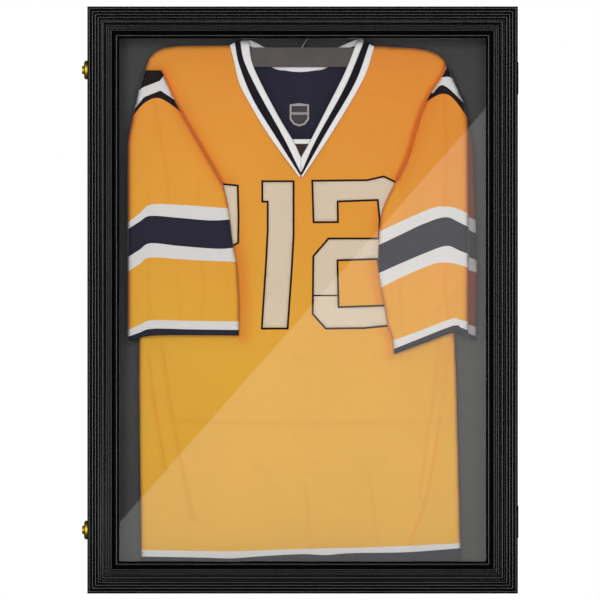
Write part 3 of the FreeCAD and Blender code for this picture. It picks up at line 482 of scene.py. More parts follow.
def thicken(cloth, thickness, offset=0.0):
    """Gives a single layer its real thickness."""
    modifier = cloth.modifiers.new("thickness", "SOLIDIFY")
    modifier.thickness = thickness * MM
    modifier.offset = offset
    bpy.context.view_layer.update()
    seen = cloth.evaluated_get(bpy.context.evaluated_depsgraph_get())
    mesh = bpy.data.meshes.new_from_object(seen)
    cloth.modifiers.clear()
    cloth.data = mesh
    return cloth


def in_space(points, depth):
    """Flat points with their depths, as X, Y and Z at the cloth's full size."""
    return np.stack([points[:, 0] * CLOTH_SCALE, depth, points[:, 1] * CLOTH_SCALE], 1)


def layer(name, pattern, depth, material, region=None, thickness=CLOTH_THICKNESS):
    """One layer of cloth that faces the front."""
    cloth = make(name, in_space(pattern.points, depth), pattern.faces, material, region)
    return thicken(cloth, thickness)


def bag(name, pattern, depths, closed, material, regions, painted_fold_shade, kept=(None, None)):
    """Two layers joined along the closed lines, and open elsewhere. Pairs are front, back."""
    front, back = depths
    points = pattern.points
    joined = np.zeros(len(points), bool)
    for line in closed:
        joined |= away(points, line) < SAME_SPOT
    middle = (front + back) / 2
    front = np.where(joined, middle, front)
    others = np.flatnonzero(~joined)
    behind = np.arange(len(points))
    behind[others] = len(points) + np.arange(len(others))
    every = np.ones(len(pattern.faces), bool)
    keep_front, keep_back = (every if keep is None else keep for keep in kept)
    spots = np.vstack([in_space(points, front), in_space(points, back)[others]])
    faces = np.vstack([pattern.faces[keep_front], behind[pattern.faces[keep_back]][:, ::-1]])
    numbers = np.concatenate([regions[0][keep_front], regions[1][keep_back]])
    used, faces = np.unique(faces, return_inverse=True)
    # the painted shade of the folds, for the points of both layers
    painted_shades = np.concatenate([painted_fold_shade, painted_fold_shade[others]])[used]
    cloth = make(name, spots[used], faces.reshape(-1, 3), material, numbers, painted_shades)
    return thicken(cloth, CLOTH_THICKNESS)


RIBBON_ROWS = 90
RIBBON_POINTS = 8
RIBBON_EDGE = 0.35  # height of a strip's edges, over its middle's


def evenly(line, count):
    """So many points along a smooth line."""
    fine = spline(line, 1.0)
    return fine[np.linspace(0, len(fine) - 1, count).astype(int)]


def ribbon(name, outer, inner, surface, rise, material):
    """A rounded strip between two lines that stands off the cloth under it."""
    across = np.linspace(0, 1, RIBBON_POINTS)
    bulge = np.sqrt(np.clip(np.sin(np.pi * across), 0, 1))
    height = rise * (RIBBON_EDGE + (1 - RIBBON_EDGE) * bulge)
    spots = []
    for a, b in zip(evenly(outer, RIBBON_ROWS), evenly(inner, RIBBON_ROWS)):
        row = np.array([a + (b - a) * v for v in across])
        spots.append(in_space(row, surface(row) - height))
    starts = [row * RIBBON_POINTS + place for row in range(RIBBON_ROWS - 1)
              for place in range(RIBBON_POINTS - 1)]
    faces = [(k, k + 1, k + RIBBON_POINTS + 1, k + RIBBON_POINTS) for k in starts]
    strip = make(name, np.vstack(spots), faces, material)
    if strip.data.polygons[0].normal.y > 0:
        strip.data.flip_normals()
    return thicken(strip, CLOTH_THICKNESS, offset=1.0)


# ---- jersey cloth

ORANGE = (0.80, 0.345, 0.041)
RED_ORANGE = (0.80, 0.275, 0.040)
YELLOW_ORANGE = (0.79, 0.415, 0.044)
# the deeper orange of painted shade in folds, creases and beside the sleeves
PAINTED_SHADE_ORANGE = (0.74, 0.105, 0.008)
WHITE = (0.72, 0.700, 0.685)
NAVY = (0.020, 0.0185, 0.037)
BLACK = (0.014, 0.008, 0.009)
CREAM = (0.735, 0.60, 0.45)
MAROON = (0.014, 0.003, 0.003)
# painted shade: the orange of the folded-under strip, darkened as if in shade
SHADED_INSIDE_ORANGE = (0.15, 0.026, 0.005)
PALETTE = [ORANGE, WHITE, NAVY, BLACK, SHADED_INSIDE_ORANGE]
SHADED_PALETTE = [ORANGE, (0.34, 0.32, 0.32), (0.014, 0.012, 0.024), BLACK, SHADED_INSIDE_ORANGE]
RIB_WHITE = (0.86, 0.84, 0.84)
RIB_NAVY = (0.010, 0.008, 0.014)
IN_ORANGE, IN_WHITE, IN_NAVY, IN_BLACK, IN_SHADED_INSIDE = range(5)


def knit(name, colours, weave=1.0):
    """Athletic mesh: rows of small eyelets, a fine yarn sheen, slightly uneven dye, a tint from
    red-orange at the top to yellow-orange lower down, and painted shade of deeper orange in folds.
    """
    tree = Tree(name, specular=0.18, rough=0.78, sheen=0.12, sheen_rough=0.4)
    eyelet = tree.add("TexVoronoi", Vector=tree.place((1.0, 0.0, 0.72)), Scale=420.0 * weave,
                      Randomness=0.12).outputs["Distance"]
    yarn = tree.grain(1500.0, 2.0, stretch=(1.0, 0.2, 0.4))
    dye = tree.grain(7.0)
    number = tree.math("MULTIPLY_ADD", tree.attribute("region"), 1 / len(colours), 0.05)
    base = tree.ramp(number, [(k / len(colours), c) for k, c in enumerate(colours)], True)
    place = tree.add("SeparateXYZ", Vector=tree.place((0.3, 0.0, 0.9)))
    fade = tree.math("ADD", place.outputs["X"], place.outputs["Z"])
    # a tint from red-orange at the top to yellow-orange lower down, a little redder to the right
    top_to_bottom_tint = tree.ramp(tree.math("MULTIPLY_ADD", fade, -1.0, 0.5),
                     [(0.12, RED_ORANGE), (0.40, ORANGE), (0.62, YELLOW_ORANGE)])
    # painted shade: a deeper orange mixed in by how deep each point lies in a fold, beside seams, edges,
    # creases and sleeves
    creased = tree.mix(tree.attribute("painted_fold_shade"), top_to_bottom_tint, rgba(PAINTED_SHADE_ORANGE))
    base = tree.mix(tree.math("LESS_THAN", number, 0.1), base, creased)
    shade = tree.ramp(eyelet, [(0.0, 0.80), (0.35, 0.97), (0.8, 1.0)])
    cloud = tree.ramp(dye, [(0.3, 0.955), (0.7, 1.0)])
    tree.colour(tree.mix(1.0, tree.mix(1.0, base, shade, "MULTIPLY"), cloud, "MULTIPLY"))
    tree.normal(tree.bump(eyelet, 0.30, 0.0003, tree.bump(yarn, 0.25, 0.0002)))
    return tree.material


def rib(name, colour):
    """Ribbed collar knit: fine cords along the strip."""
    tree = Tree(name, base=rgba(colour), specular=0.15, rough=0.85, sheen=0.1)
    cords = tree.grain(900.0, 2.0, stretch=(1.0, 0.3, 0.25))
    lint = tree.grain(2500.0, 2.0)
    low = tuple(0.86 * part for part in colour)
    tree.colour(tree.ramp(cords, [(0.3, low), (0.65, colour)]))
    tree.normal(tree.bump(cords, 0.45, 0.0004, tree.bump(lint, 0.2, 0.0001)))
    return tree.material


def twill(name, colour):
    """Sewn-on twill: a tight diagonal weave."""
    tree = Tree(name, base=rgba(colour), specular=0.25, rough=0.62, sheen=0.05)
    diagonal = tree.add("TexWave", Vector=tree.place((1.0, 0.0, 1.0)), Scale=330.0,
                        Distortion=0.6).outputs["Fac"]
    cloud = tree.grain(9.0)
    low = tuple(0.88 * part for part in colour)
    fine = tree.ramp(diagonal, [(0.2, low), (0.7, colour)])
    tree.colour(tree.mix(1.0, fine, tree.ramp(cloud, [(0.3, 0.93), (0.7, 1.0)]), "MULTIPLY"))
    tree.normal(tree.bump(diagonal, 0.15, 0.0002))
    return tree.material


# ---- jersey body

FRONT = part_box("jersey_body")[0].y / MM
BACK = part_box("jersey_body")[1].y / MM
COLLAR_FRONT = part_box("jersey_collar")[0].y / MM
SLEEVE_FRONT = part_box("jersey_sleeve_left")[0].y / MM
SLEEVE_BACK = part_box("jersey_sleeve_left")[1].y / MM

LEFT_SIDE = spline([(-241, 358), (-246, 150), (-251, -66), (-250.5, -200), (-247.5, -409)])
HEM = spline([(-247.5, -409), (-120, -410), (0, -409), (150, -407), (243, -400)])
RIGHT_SIDE = spline([(243, -400), (240, -277), (236, -120), (233, -50), (228, 150), (222, 355)])
RIGHT_SHOULDER = spline([(222, 355), (217, 369), (203, 380), (180, 386), (140, 389), (98, 391)])
LEFT_SHOULDER = spline([(-92, 392), (-150, 391.5), (-196, 390), (-219, 385), (-233, 375),
                        (-241, 358)])
TOP = straight([(98, 391), (-92, 392)])
NECK_LEFT = spline([(-100, 393), (-92, 362), (-70, 313), (-32, 248), (-2.5, 203)])
NECK_RIGHT = spline([(-2.5, 203), (28, 250), (70, 328), (92, 366), (101, 393)])
BACK_NECK = spline([(-72, 393), (-60, 383), (-35, 374.5), (-3, 371), (30, 374.5), (62, 383), (76, 393)])
BACK_BAND = spline([(-80, 385), (-47, 358), (-26, 353), (-4, 351), (18, 353), (38, 358), (76, 385)])
HEM_WHITE = spline([(-254, -384), (-150, -386), (-100, -386), (0, -382.5), (120, -379.5), (248, -373.5)])
HEM_NAVY = spline([(-254, -394), (-150, -396), (-110, -397), (-60, -393.5), (0, -390.5), (35, -392),
                   (75, -389), (160, -387.5), (248, -381)])

SIDES = (LEFT_SIDE, RIGHT_SIDE, LEFT_SHOULDER, RIGHT_SHOULDER)
CLOTH_TOP = 400  # over the top of the body's outline
SIDE_RADIUS = 9
SIDE_DEPTH = -20.0  # where the front and the back meet
DEEPEST_FRONT = -20.2
BAR_FOOT = 345  # below this the cloth hangs free of the bar
FRONT_GAP, FRONT_HANG, FRONT_FALL = 0.7, 3.6, 260  # off its box, how far in, and over what height
BACK_GAP, BACK_HANG, BACK_FALL = 0.6, 1.6, 200
SHARP_CREASE = 12  # creases narrower than this also get a painted shade of deeper orange

# Each crease: its line, width, height and how far it leans to one side.
BODY_CREASES = [
    ([(-204, -184), (-60, -187), (90, -186), (211, -185)], 3.6, 0.9, 0.8),
    ([(-204, -190), (-60, -193), (90, -192), (211, -191)], 6.0, -0.4, 0.0),
    ([(-234.5, -88), (-224, -170), (-208, -261)], 5.0, 1.5, 0.9),
    ([(-214.6, -69), (-196, -190), (-167, -331)], 5.5, 1.5, 0.9),
    ([(7, -280), (13, -377)], 5.0, 0.8, 0.5),
    ([(103, -254), (117, -377)], 5.0, 0.8, -0.5),
    ([(212, -53), (203, -142), (197, -186), (190, -232), (181, -300)], 5.0, 1.5, 1.0),
    ([(213, -176), (205, -230), (191, -303), (165, -377)], 6.0, 2.0, 1.4),
    ([(228, -53), (226, -85), (220, -160)], 5.0, -1.0, 0.0),
    ([(80, 319), (142, 312)], 4.0, 0.7, 0.5),
    ([(-40, 250), (-60, 120), (-70, -60)], 30.0, 0.8, 0.0),
    ([(110, 350), (150, 250), (135, 190)], 16.0, 0.9, 0.6),
    ([(-150, 370), (-120, 290), (-110, 230)], 16.0, 0.8, -0.6),
    ([(60, -80), (40, -200), (48, -360)], 26.0, 0.9, 0.3),
    ([(-90, -70), (-110, -220), (-96, -370)], 28.0, 0.9, -0.3),
    ([(-2, 196), (4, 120), (0, 20)], 22.0, 0.5, 0.0),
]


def body_depth(points):
    """Depth of the body's front: out over the bar, then hanging in and softly creased."""
    fall = np.clip((BAR_FOOT - points[:, 1]) / FRONT_FALL, 0, 1)
    depth = FRONT + FRONT_GAP + FRONT_HANG * fall * fall * (3 - 2 * fall)
    for line, width, height, lean in BODY_CREASES:
        depth -= crease(points, line, width, height, lean)
    depth -= wander(points, height=0.9, size=46, seed=3.1, squeeze=0.35) * fall
    depth -= wander(points, height=0.35, size=19, seed=7.7)
    return np.minimum(depth, DEEPEST_FRONT)


def back_depth(points):
    """Depth of the body's back, a little further forward below the bar."""
    fall = np.clip((BAR_FOOT - points[:, 1]) / BACK_FALL, 0, 1)
    return BACK - BACK_GAP - BACK_HANG * fall


def rolled(points, depth):
    """A layer's depth with its sides and shoulders rolled round to meet the other layer."""
    shape = np.ones(len(points))
    for line in SIDES:
        shape = np.minimum(shape, roll(points, line, SIDE_RADIUS))
    return depth * shape + SIDE_DEPTH * (1 - shape)


def shaded(points, lines):
    """How much painted shade each point gets, as if deep in a fold: lines are (line, width, amount)."""
    deepest = np.zeros(len(points))
    for line, width, amount in lines:
        deepest = np.maximum(deepest, amount * np.exp(-(away(points, line) / width) ** 2))
    return deepest


def crease_shades(creases, shift, width, share):
    """Lines for shaded() beside creases: the higher a crease, the deeper its shade."""
    return [(spline(line, 6.0) - shift, width, share * abs(height)) for line, _, height, _ in creases]


def body_painted_shade(points):
    """Painted shade on the body: how deep in a fold each point lies, beside the sleeves, where it also
    stands for their cast shadow, the edges and creases.
    """
    # painted shade beside the armholes, sides and shoulders, and painted shadow of the sleeves on the
    # body beside their inner edges
    lines = [(LEFT_ARMHOLE, 4.5, 0.85), (RIGHT_ARMHOLE, 5.0, 0.95), (LEFT_SIDE, 3.5, 0.3),
             (RIGHT_SIDE, 4.0, 0.4), (LEFT_SHOULDER, 3.0, 0.2), (RIGHT_SHOULDER, 4.0, 0.3),
             (LEFT_ARMHOLE, 12.0, 0.35), (LEFT_INNER + (6.0, 0.0), 13.0, 0.38),
             (RIGHT_INNER - (4.0, 0.0), 9.0, 0.3)]
    sharp = [crease for crease in BODY_CREASES if crease[1] < SHARP_CREASE]
    lines += crease_shades(sharp, shift=(1.5, 1.5), width=2.2, share=0.14)
    return shaded(points, lines)


def over_line(line):
    """The closed outline of everything between a line and the top of the cloth."""
    return ring(line, straight([(line[-1][0], CLOTH_TOP), (line[0][0], CLOTH_TOP)]))


def make_body():
    """The shirt: a front and a back layer with the neck cut out and the hem's bands."""
    outline = ring(LEFT_SIDE, HEM, RIGHT_SIDE, RIGHT_SHOULDER, TOP, LEFT_SHOULDER)
    lines = [NECK_LEFT, NECK_RIGHT, BACK_NECK, BACK_BAND, HEM_WHITE, HEM_NAVY]
    pattern = Pattern(outline, lines, step=3.5)
    centres = pattern.centres
    in_neck = inside(centres, ring(NECK_LEFT, NECK_RIGHT))
    above_neck = inside(centres, over_line(BACK_NECK))
    hem_band = away(centres, HEM_WHITE, signed=True) < 0
    hem_edge = away(centres, HEM_NAVY, signed=True) < 0
    region = np.select([hem_edge, hem_band], [IN_NAVY, IN_WHITE], IN_ORANGE)
    behind = region.copy()
    behind[in_neck] = IN_NAVY
    behind[in_neck & inside(centres, over_line(BACK_BAND))] = IN_WHITE
    points = pattern.points
    depths = rolled(points, body_depth(points)), rolled(points, back_depth(points))
    return bag("jersey_shirt", pattern, depths, SIDES, knit("jersey_mesh", PALETTE),
               (region, behind), body_painted_shade(points), (~in_neck, ~above_neck))


# ---- sleeves

def banded(points, lines, colours):
    """A colour number per point: the colour under each lower line replaces the one above."""
    numbers = np.full(len(points), colours[0])
    for line, colour in zip(lines, colours[1:]):
        below = points[:, 1] < np.interp(points[:, 0], line[:, 0], line[:, 1])
        numbers[below] = colour
    return numbers


LEFT_OUTER = spline([(-242, 352), (-250, 326), (-256, 299.5), (-261, 278), (-267, 246), (-268, 215),
                     (-268, 100), (-268, -64)])
LEFT_HEM = spline([(-268, -64), (-233, -55), (-160, -54), (-98, -54.5)])
LEFT_INNER = spline([(-98, -54.5), (-98, 0), (-102, 58), (-107, 83), (-114.5, 143), (-123, 180)])
LEFT_ARMHOLE = spline([(-123, 180), (-150, 227), (-188, 293), (-202, 320), (-213, 345), (-216.5, 352)])
LEFT_HEAD = straight([(-216.5, 352), (-242, 352)])
LEFT_BANDS = [
    straight([(-250, 322), (-245.5, 325.5), (-219, 336), (-213, 344.5), (-208, 352)]),
    straight([(-262, 285), (-256, 295), (-243, 311), (-218, 321), (-186, 300)]),
    spline([(-264, 276), (-257, 286), (-241, 303), (-218, 309), (-183, 286)]),
    spline([(-272, 115), (-250, 133), (-233.5, 146), (-200, 146.5), (-160, 144), (-108, 140)]),
    spline([(-272, 106), (-250, 120), (-233.5, 129), (-190, 126), (-140, 122), (-105, 124)]),
    spline([(-272, 63), (-250, 77), (-233.5, 87), (-190, 83), (-130, 78.5), (-98, 81)]),
    spline([(-272, 41), (-250, 55), (-233.5, 65), (-180, 62), (-140, 60), (-95, 58.5)]),
    spline([(-272, -48), (-250, -38), (-230, -31), (-170, -32), (-92, -33)]),
    spline([(-272, -58), (-250, -50), (-230, -44), (-170, -45), (-92, -46)]),
]
RIGHT_OUTER = spline([(254, -58), (254, -35), (254.5, 100), (253.5, 261), (250.5, 285), (246, 304),
                      (230.5, 339), (223.5, 358)])
RIGHT_HEAD = straight([(223.5, 358), (221, 358)])
RIGHT_ARMHOLE = spline([(221, 358), (213, 343), (193, 312), (180, 284), (162, 223), (146, 187)])
RIGHT_INNER = spline([(146, 187), (131, 157.5), (121, 130.5), (117, 84.5), (116.7, 43), (125, -6),
                      (131, -40), (138, -59), (140.6, -83)])
RIGHT_HEM = spline([(140.6, -83), (190, -65), (233, -50), (254, -58)])
RIGHT_BANDS = [
    spline([(205, 341), (219, 342), (227, 341), (240, 331)]),
    spline([(200, 317), (211, 329), (220, 327), (234, 315), (258, 290)]),
    spline([(186, 301), (207, 314), (222, 315), (236, 303), (258, 272)]),
    spline([(110, 101), (150, 120), (199, 141), (219, 143), (236, 140.5), (260, 129)]),
    spline([(110, 81), (150, 100), (186, 117), (219, 127), (240, 119), (262, 108)]),
    spline([(110, 38), (150, 56), (188, 72), (220, 83), (240, 76), (262, 67)]),
    spline([(110, 14), (150, 34), (197, 54), (219, 57.5), (236, 55), (262, 48)]),
    spline([(130, -65), (180, -47), (228, -29), (240, -30), (262, -36)]),
    spline([(130, -79), (180, -59), (232, -39), (242, -42), (262, -50)]),
]
SLEEVE_COLOURS = [IN_BLACK, IN_WHITE, IN_BLACK, IN_ORANGE, IN_WHITE, IN_NAVY, IN_WHITE, IN_ORANGE,
                  IN_WHITE, IN_NAVY]
SLEEVE_MIDDLE = (SLEEVE_FRONT + SLEEVE_BACK) / 2
SLEEVE_EDGE = SLEEVE_BACK - 2.6  # where a sleeve's two layers meet
FRONT_ROOM, BACK_ROOM = 0.5, 0.7  # left between a sleeve and its box
SEWN_DEPTH = FRONT - 1.2  # where they are sewn to the body
LEFT_CREASES = [
    ([(-231, 366), (-225, 300), (-206, 190), (-200, 60)], 16.0, 1.3, 0.7),
    ([(-233.5, 160), (-234, 60), (-232, -50)], 9.0, 0.9, 0.8),
    ([(-150, 226), (-160, 120), (-150, 20), (-156, -50)], 18.0, 0.9, 0.0),
    ([(-190, 60), (-184, -50)], 12.0, -0.6, 0.0),
    ([(-126, 170), (-118, 80), (-112, -40)], 8.0, 0.5, 0.0),
]
RIGHT_CREASES = [
    ([(207, 307), (196, 270), (188, 230)], 8.0, 1.5, 1.0),
    ([(219, 312), (222, 220), (219, 120), (222, 0), (230, -45)], 11.0, 1.6, 0.9),
    ([(250, 23), (226, 2), (203.5, -23)], 4.0, 1.5, 0.6),
    ([(150, 196), (160, 110), (150, 20), (158, -60)], 15.0, 1.1, -0.6),
    ([(180, 270), (186, 150), (184, 40), (190, -50)], 14.0, -0.7, 0.0),
    ([(126, 120), (136, 40), (140, -30)], 10.0, 0.7, 0.4),
]


def sleeve_depths(points, outer, inner, armhole, creases, seed):
    """Depths of a hanging sleeve's two layers, drawn down to the body at its armhole seam."""
    front = np.full(len(points), SLEEVE_MIDDLE - 1.8)
    for line, width, height, lean in creases:
        front -= crease(points, line, width, height, lean)
    front -= wander(points, height=0.7, size=34, seed=seed, squeeze=0.3)
    front -= wander(points, height=0.3, size=17, seed=seed + 5)
    front = np.maximum(front, SLEEVE_FRONT + FRONT_ROOM)
    back = np.full(len(points), SLEEVE_BACK - BACK_ROOM)
    edge = np.minimum(roll(points, outer, radius=8), roll(points, inner, radius=6))
    free = roll(points, armhole, radius=13)
    return [(depth * edge + SLEEVE_EDGE * (1 - edge)) * free + SEWN_DEPTH * (1 - free)
            for depth in (front, back)]


def make_sleeve(name, sides, outline, bands, creases, seed):
    """One sleeve: two layers joined at the sides and the armhole, open at the hem."""
    outer, inner, armhole = sides
    pattern = Pattern(ring(*outline), bands, step=3.6)
    region = banded(pattern.centres, bands, SLEEVE_COLOURS)
    depths = sleeve_depths(pattern.points, outer, inner, armhole, creases, seed)
    # painted shade along the rolled edges, the armhole seam and beside creases
    lines = [(outer, 5.0, 0.75), (inner, 3.0, 0.4), (armhole, 4.5, 0.9), (armhole, 13.0, 0.3)]
    lines += crease_shades(creases, shift=(2.0, 0.0), width=2.4, share=0.12)
    return bag(name, pattern, depths, [outer, inner, armhole], knit(name + "_mesh", PALETTE),
               (region, region), shaded(pattern.points, lines))


def make_sleeves():
    """The left and the right sleeve; the right one's lines follow each other the other way."""
    left = make_sleeve("sleeve_left", (LEFT_OUTER, LEFT_INNER, LEFT_ARMHOLE),
                       (LEFT_OUTER, LEFT_HEM, LEFT_INNER, LEFT_ARMHOLE, LEFT_HEAD),
                       LEFT_BANDS, LEFT_CREASES, seed=1.3)
    right = make_sleeve("sleeve_right", (RIGHT_OUTER, RIGHT_INNER, RIGHT_ARMHOLE),
                        (RIGHT_OUTER, RIGHT_HEAD, RIGHT_ARMHOLE, RIGHT_INNER, RIGHT_HEM),
                        RIGHT_BANDS, RIGHT_CREASES, seed=4.4)
    return left, right


FOLD_EDGE = spline([(266, -63), (267.5, 60), (262, 232)])
FOLD_TOP = spline([(262, 232), (255, 262), (245, 286)])
FOLD_INNER = straight([(245, 286), (228, 200), (228, -48)])
FOLD_HEM = spline([(228, -48), (247, -55), (266, -63)])
# colour numbers of the folded-under strip, which is drawn with the painted shade colours
FOLD_COLOURS = [IN_SHADED_INSIDE, IN_WHITE, IN_NAVY, IN_WHITE, IN_SHADED_INSIDE, IN_WHITE, IN_NAVY]


def make_underlay():
    """The part of the right sleeve that is folded under, drawn in painted shade colours as a darker
    strip.
    """
    lowered = [line + (0, -4) for line in RIGHT_BANDS[3:]]
    bands = [np.vstack([line, line[-1] + (14, -5)]) for line in lowered]
    pattern = Pattern(ring(FOLD_TOP, FOLD_INNER, FOLD_HEM, FOLD_EDGE), bands, step=3.6)
    region = banded(pattern.centres, bands, FOLD_COLOURS)
    edge = roll(pattern.points, FOLD_EDGE, radius=7)
    depth = (SLEEVE_BACK - 1.4) + 1.8 * (1 - edge)
    return layer("sleeve_right_fold", pattern, depth, knit("sleeve_fold_painted_shade_mesh", SHADED_PALETTE), region)


# ---- collar, numbers, trims

OUTER_LEFT = [(-111.6, 391), (-105, 366), (-96.8, 332), (-76.2, 293), (-49.8, 250), (-4.2, 188)]
OUTER_NAVY_LEFT = [(-104.2, 396), (-96.8, 360), (-74.8, 306), (-38, 246), (-3.6, 191)]
NAVY_INNER_LEFT = [(-96, 398), (-89.6, 366), (-67.5, 319), (-29, 249), (-2.9, 195)]
INNER_LEFT = [(-83, 400), (-77.8, 365), (-61.6, 328), (-35, 278), (-14.6, 244), (-2.4, 218)]
OUTER_RIGHT = [(110, 389), (94, 341), (50, 265), (-0.8, 188)]
OUTER_NAVY_RIGHT = [(102.5, 393), (79.6, 332), (35.5, 256), (-1.4, 191)]
NAVY_INNER_RIGHT = [(94, 396), (65, 327), (20.7, 246), (-2.1, 195)]
INNER_RIGHT = [(85, 400), (65, 349), (35.5, 290), (12, 244), (-2.6, 218)]
BACK_UPPER = [(-92, 400), (-82, 400), (-70, 395), (-58, 388.5), (-35, 379), (0, 374), (34, 379),
              (55, 388.5), (70, 395.5), (84, 400.5), (93, 400)]
BACK_LOWER = [(-95, 392), (-86, 391), (-74, 388), (-62, 376), (-44, 358), (-4, 351), (36, 358),
              (54, 376), (68, 387), (84, 391), (96, 391)]
SHOULDER_TOP = 384  # above this the collar turns over to the back
SHOULDER_TURN = 15  # the height over which it turns
SHOULDER_DEPTH = 9.0
COLLAR_ROOM = 3.0  # kept in front of the strips, inside the collar's box
COLLAR_END, COLLAR_END_RUN = 62, 30  # X where its back starts to come forward, and over how much


def collar_base(points):
    """What the collar lies on: the body's front, then over the shoulder to the back."""
    over = np.clip((points[:, 1] - SHOULDER_TOP) / SHOULDER_TURN, 0, 1)
    front = np.minimum(body_depth(points), COLLAR_FRONT + COLLAR_ROOM) - 0.4
    return front + SHOULDER_DEPTH * (1 - np.sqrt(1 - over * over))


def make_collar():
    """Three ribbed strips on each side of the neck and a band at its back."""
    white = rib("collar_white", RIB_WHITE)
    navy = rib("collar_navy", RIB_NAVY)
    strips = [
        ("collar_outer_right", OUTER_RIGHT, OUTER_NAVY_RIGHT, white, 1.0, 0.0),
        ("collar_navy_right", OUTER_NAVY_RIGHT, NAVY_INNER_RIGHT, navy, 1.1, 0.1),
        ("collar_inner_right", NAVY_INNER_RIGHT, INNER_RIGHT, white, 1.4, 0.0),
        ("collar_outer_left", OUTER_LEFT, OUTER_NAVY_LEFT, white, 1.0, 0.8),
        ("collar_navy_left", OUTER_NAVY_LEFT, NAVY_INNER_LEFT, navy, 1.1, 0.9),
        ("collar_inner_left", NAVY_INNER_LEFT, INNER_LEFT, white, 1.4, 0.8),
    ]
    made = [ribbon(name, outer, inner, lambda p, out=out: collar_base(p) - out, rise, material)
            for name, outer, inner, material, rise, out in strips]
    made.append(ribbon("collar_back", BACK_UPPER, BACK_LOWER, back_collar_base, 0.8, white))
    return made


def back_collar_base(points):
    """The back of the collar runs behind the bar and comes forward at its ends."""
    ends = np.clip((np.abs(points[:, 0]) - COLLAR_END) / COLLAR_END_RUN, 0, 1)
    return BACK - 1.0 - 7.0 * ends * ends


ONE = [(-63.3, 183.8), (-12.4, 183.8), (-12.4, 99.7), (-15.1, 49.6), (-21.7, -45.3),
       (-64.2, -45.3), (-57.5, 57.9), (-55, 106.3), (-55, 149.7), (-63.3, 149.7)]
TWO = [(13.4, 184.6), (99.1, 185.5), (124.9, 191.3), (144.2, 182.1), (158, 168), (158, 84),
       (144, 66), (137, 30), (137, -40.4), (94.2, -44.6), (35, -45.3), (14.1, -22.1), (15.1, 67.9),
       (39.2, 95.9), (115.9, 95.9), (117.1, 123), (114.2, 152.2), (55.3, 150), (55.8, 118.3),
       (15.5, 118)]
TWO_COUNTER = [(55, 59.6), (114.2, 61.6), (124.9, -7.1), (56.7, -9.5)]
PART = [(-160, 181), (-123.7, 179.5), (-98.2, 177.2), (-97, 130), (-97.5, 87), (-107, 82),
        (-160, 80)]
TWO_LINE = [(15.5, 8.1), (56, 8.1), (56, 5.8), (15.5, 5.8)]
NUMERALS = [("number_one", ONE, []), ("number_two", TWO, [TWO_COUNTER]), ("number_part", PART, [])]
OUTLINE_WIDTH = 2.9


def applique(name, outline, holes, lift, material):
    """A sewn-on piece that follows the body's front."""
    edge = ring(straight(outline + outline[:1], step=5.0))
    lines = [straight(hole + hole[:1], step=5.0) for hole in holes]
    pattern = Pattern(edge, lines, step=5.0)
    for line in lines:
        pattern.faces = pattern.faces[~inside(pattern.points[pattern.faces].mean(1), line[:-1])]
    depth = body_depth(pattern.points) - lift
    return layer(name, pattern, depth, material, thickness=APPLIQUE_THICKNESS)


def make_numbers():
    """The numerals, each a dark border with a smaller cream piece on it."""
    cream = twill("number_twill", CREAM)
    edge = twill("number_border", MAROON)
    made = []
    for name, outline, holes in NUMERALS:
        inner = [tuple(point) for point in inset(outline, OUTLINE_WIDTH)]
        wider = [[tuple(point) for point in inset(hole, -OUTLINE_WIDTH)] for hole in holes]
        made.append(applique(name + "_border", outline, holes, 0.9, edge))
        made.append(applique(name, inner, wider, 1.3, cream))
    made.append(applique("number_two_line", TWO_LINE, [], 1.75, edge))
    return made


INSERT_BAR = [(-17, 247), (15, 247), (11, 239.8), (-13, 239.8)]
INSERT = [(-13, 240.2), (11, 240.2), (1, 219), (-5, 219)]
SHIELD = [(-20, 301), (-5, 303), (10, 301), (10, 278), (4, 270), (-5, 267), (-14, 270), (-20, 278)]
SHIELD_FIELD = [(-17, 298.5), (7, 298.5), (7, 279), (2, 272.5), (-5, 270), (-12, 272.5), (-17, 279)]
SHIELD_STRIPE = [(-17, 289), (7, 289), (7, 285), (-17, 285)]


def make_neck():
    """The insert at the bottom of the neck, and a plain woven patch inside the back."""
    pieces = [
        ("neck_insert_bar", INSERT_BAR, -25.2, rib("insert_white", RIB_WHITE)),
        ("neck_insert", INSERT, -24.6, rib("insert_dark", (0.05, 0.03, 0.03))),
        ("neck_patch", SHIELD, -15.8, twill("patch_light", (0.45, 0.41, 0.40))),
        ("neck_patch_field", SHIELD_FIELD, -16.3, twill("patch_dark", (0.06, 0.05, 0.06))),
        ("neck_patch_stripe", SHIELD_STRIPE, -16.7, twill("patch_stripe", (0.38, 0.34, 0.33))),
    ]
    made = []
    for name, outline, depth, material in pieces:
        pattern = Pattern(ring(straight(outline + outline[:1], step=3.0)), step=3.0)
        depths = np.full(len(pattern.points), depth)
        made.append(layer(name, pattern, depths, material, thickness=PATCH_THICKNESS))
    return made


SEAM_RADIUS = 1.0
SEAM_DEPTH = FRONT - 1.9


def seam(name, line, material):
    """A thin raised cord of thread that follows a seam."""
    points = spline(line[::4], 3.0)
    curve = bpy.data.curves.new(name, "CURVE")
    curve.dimensions = "3D"
    curve.bevel_depth = SEAM_RADIUS * MM
    curve.bevel_resolution = 2
    run = curve.splines.new("POLY")
    run.points.add(len(points) - 1)
    spots = in_space(points, np.full(len(points), SEAM_DEPTH))
    for point, spot in zip(run.points, spots):
        point.co = (*(spot * MM), 1.0)
    curve.materials.append(material)
    return add_object(name, curve)


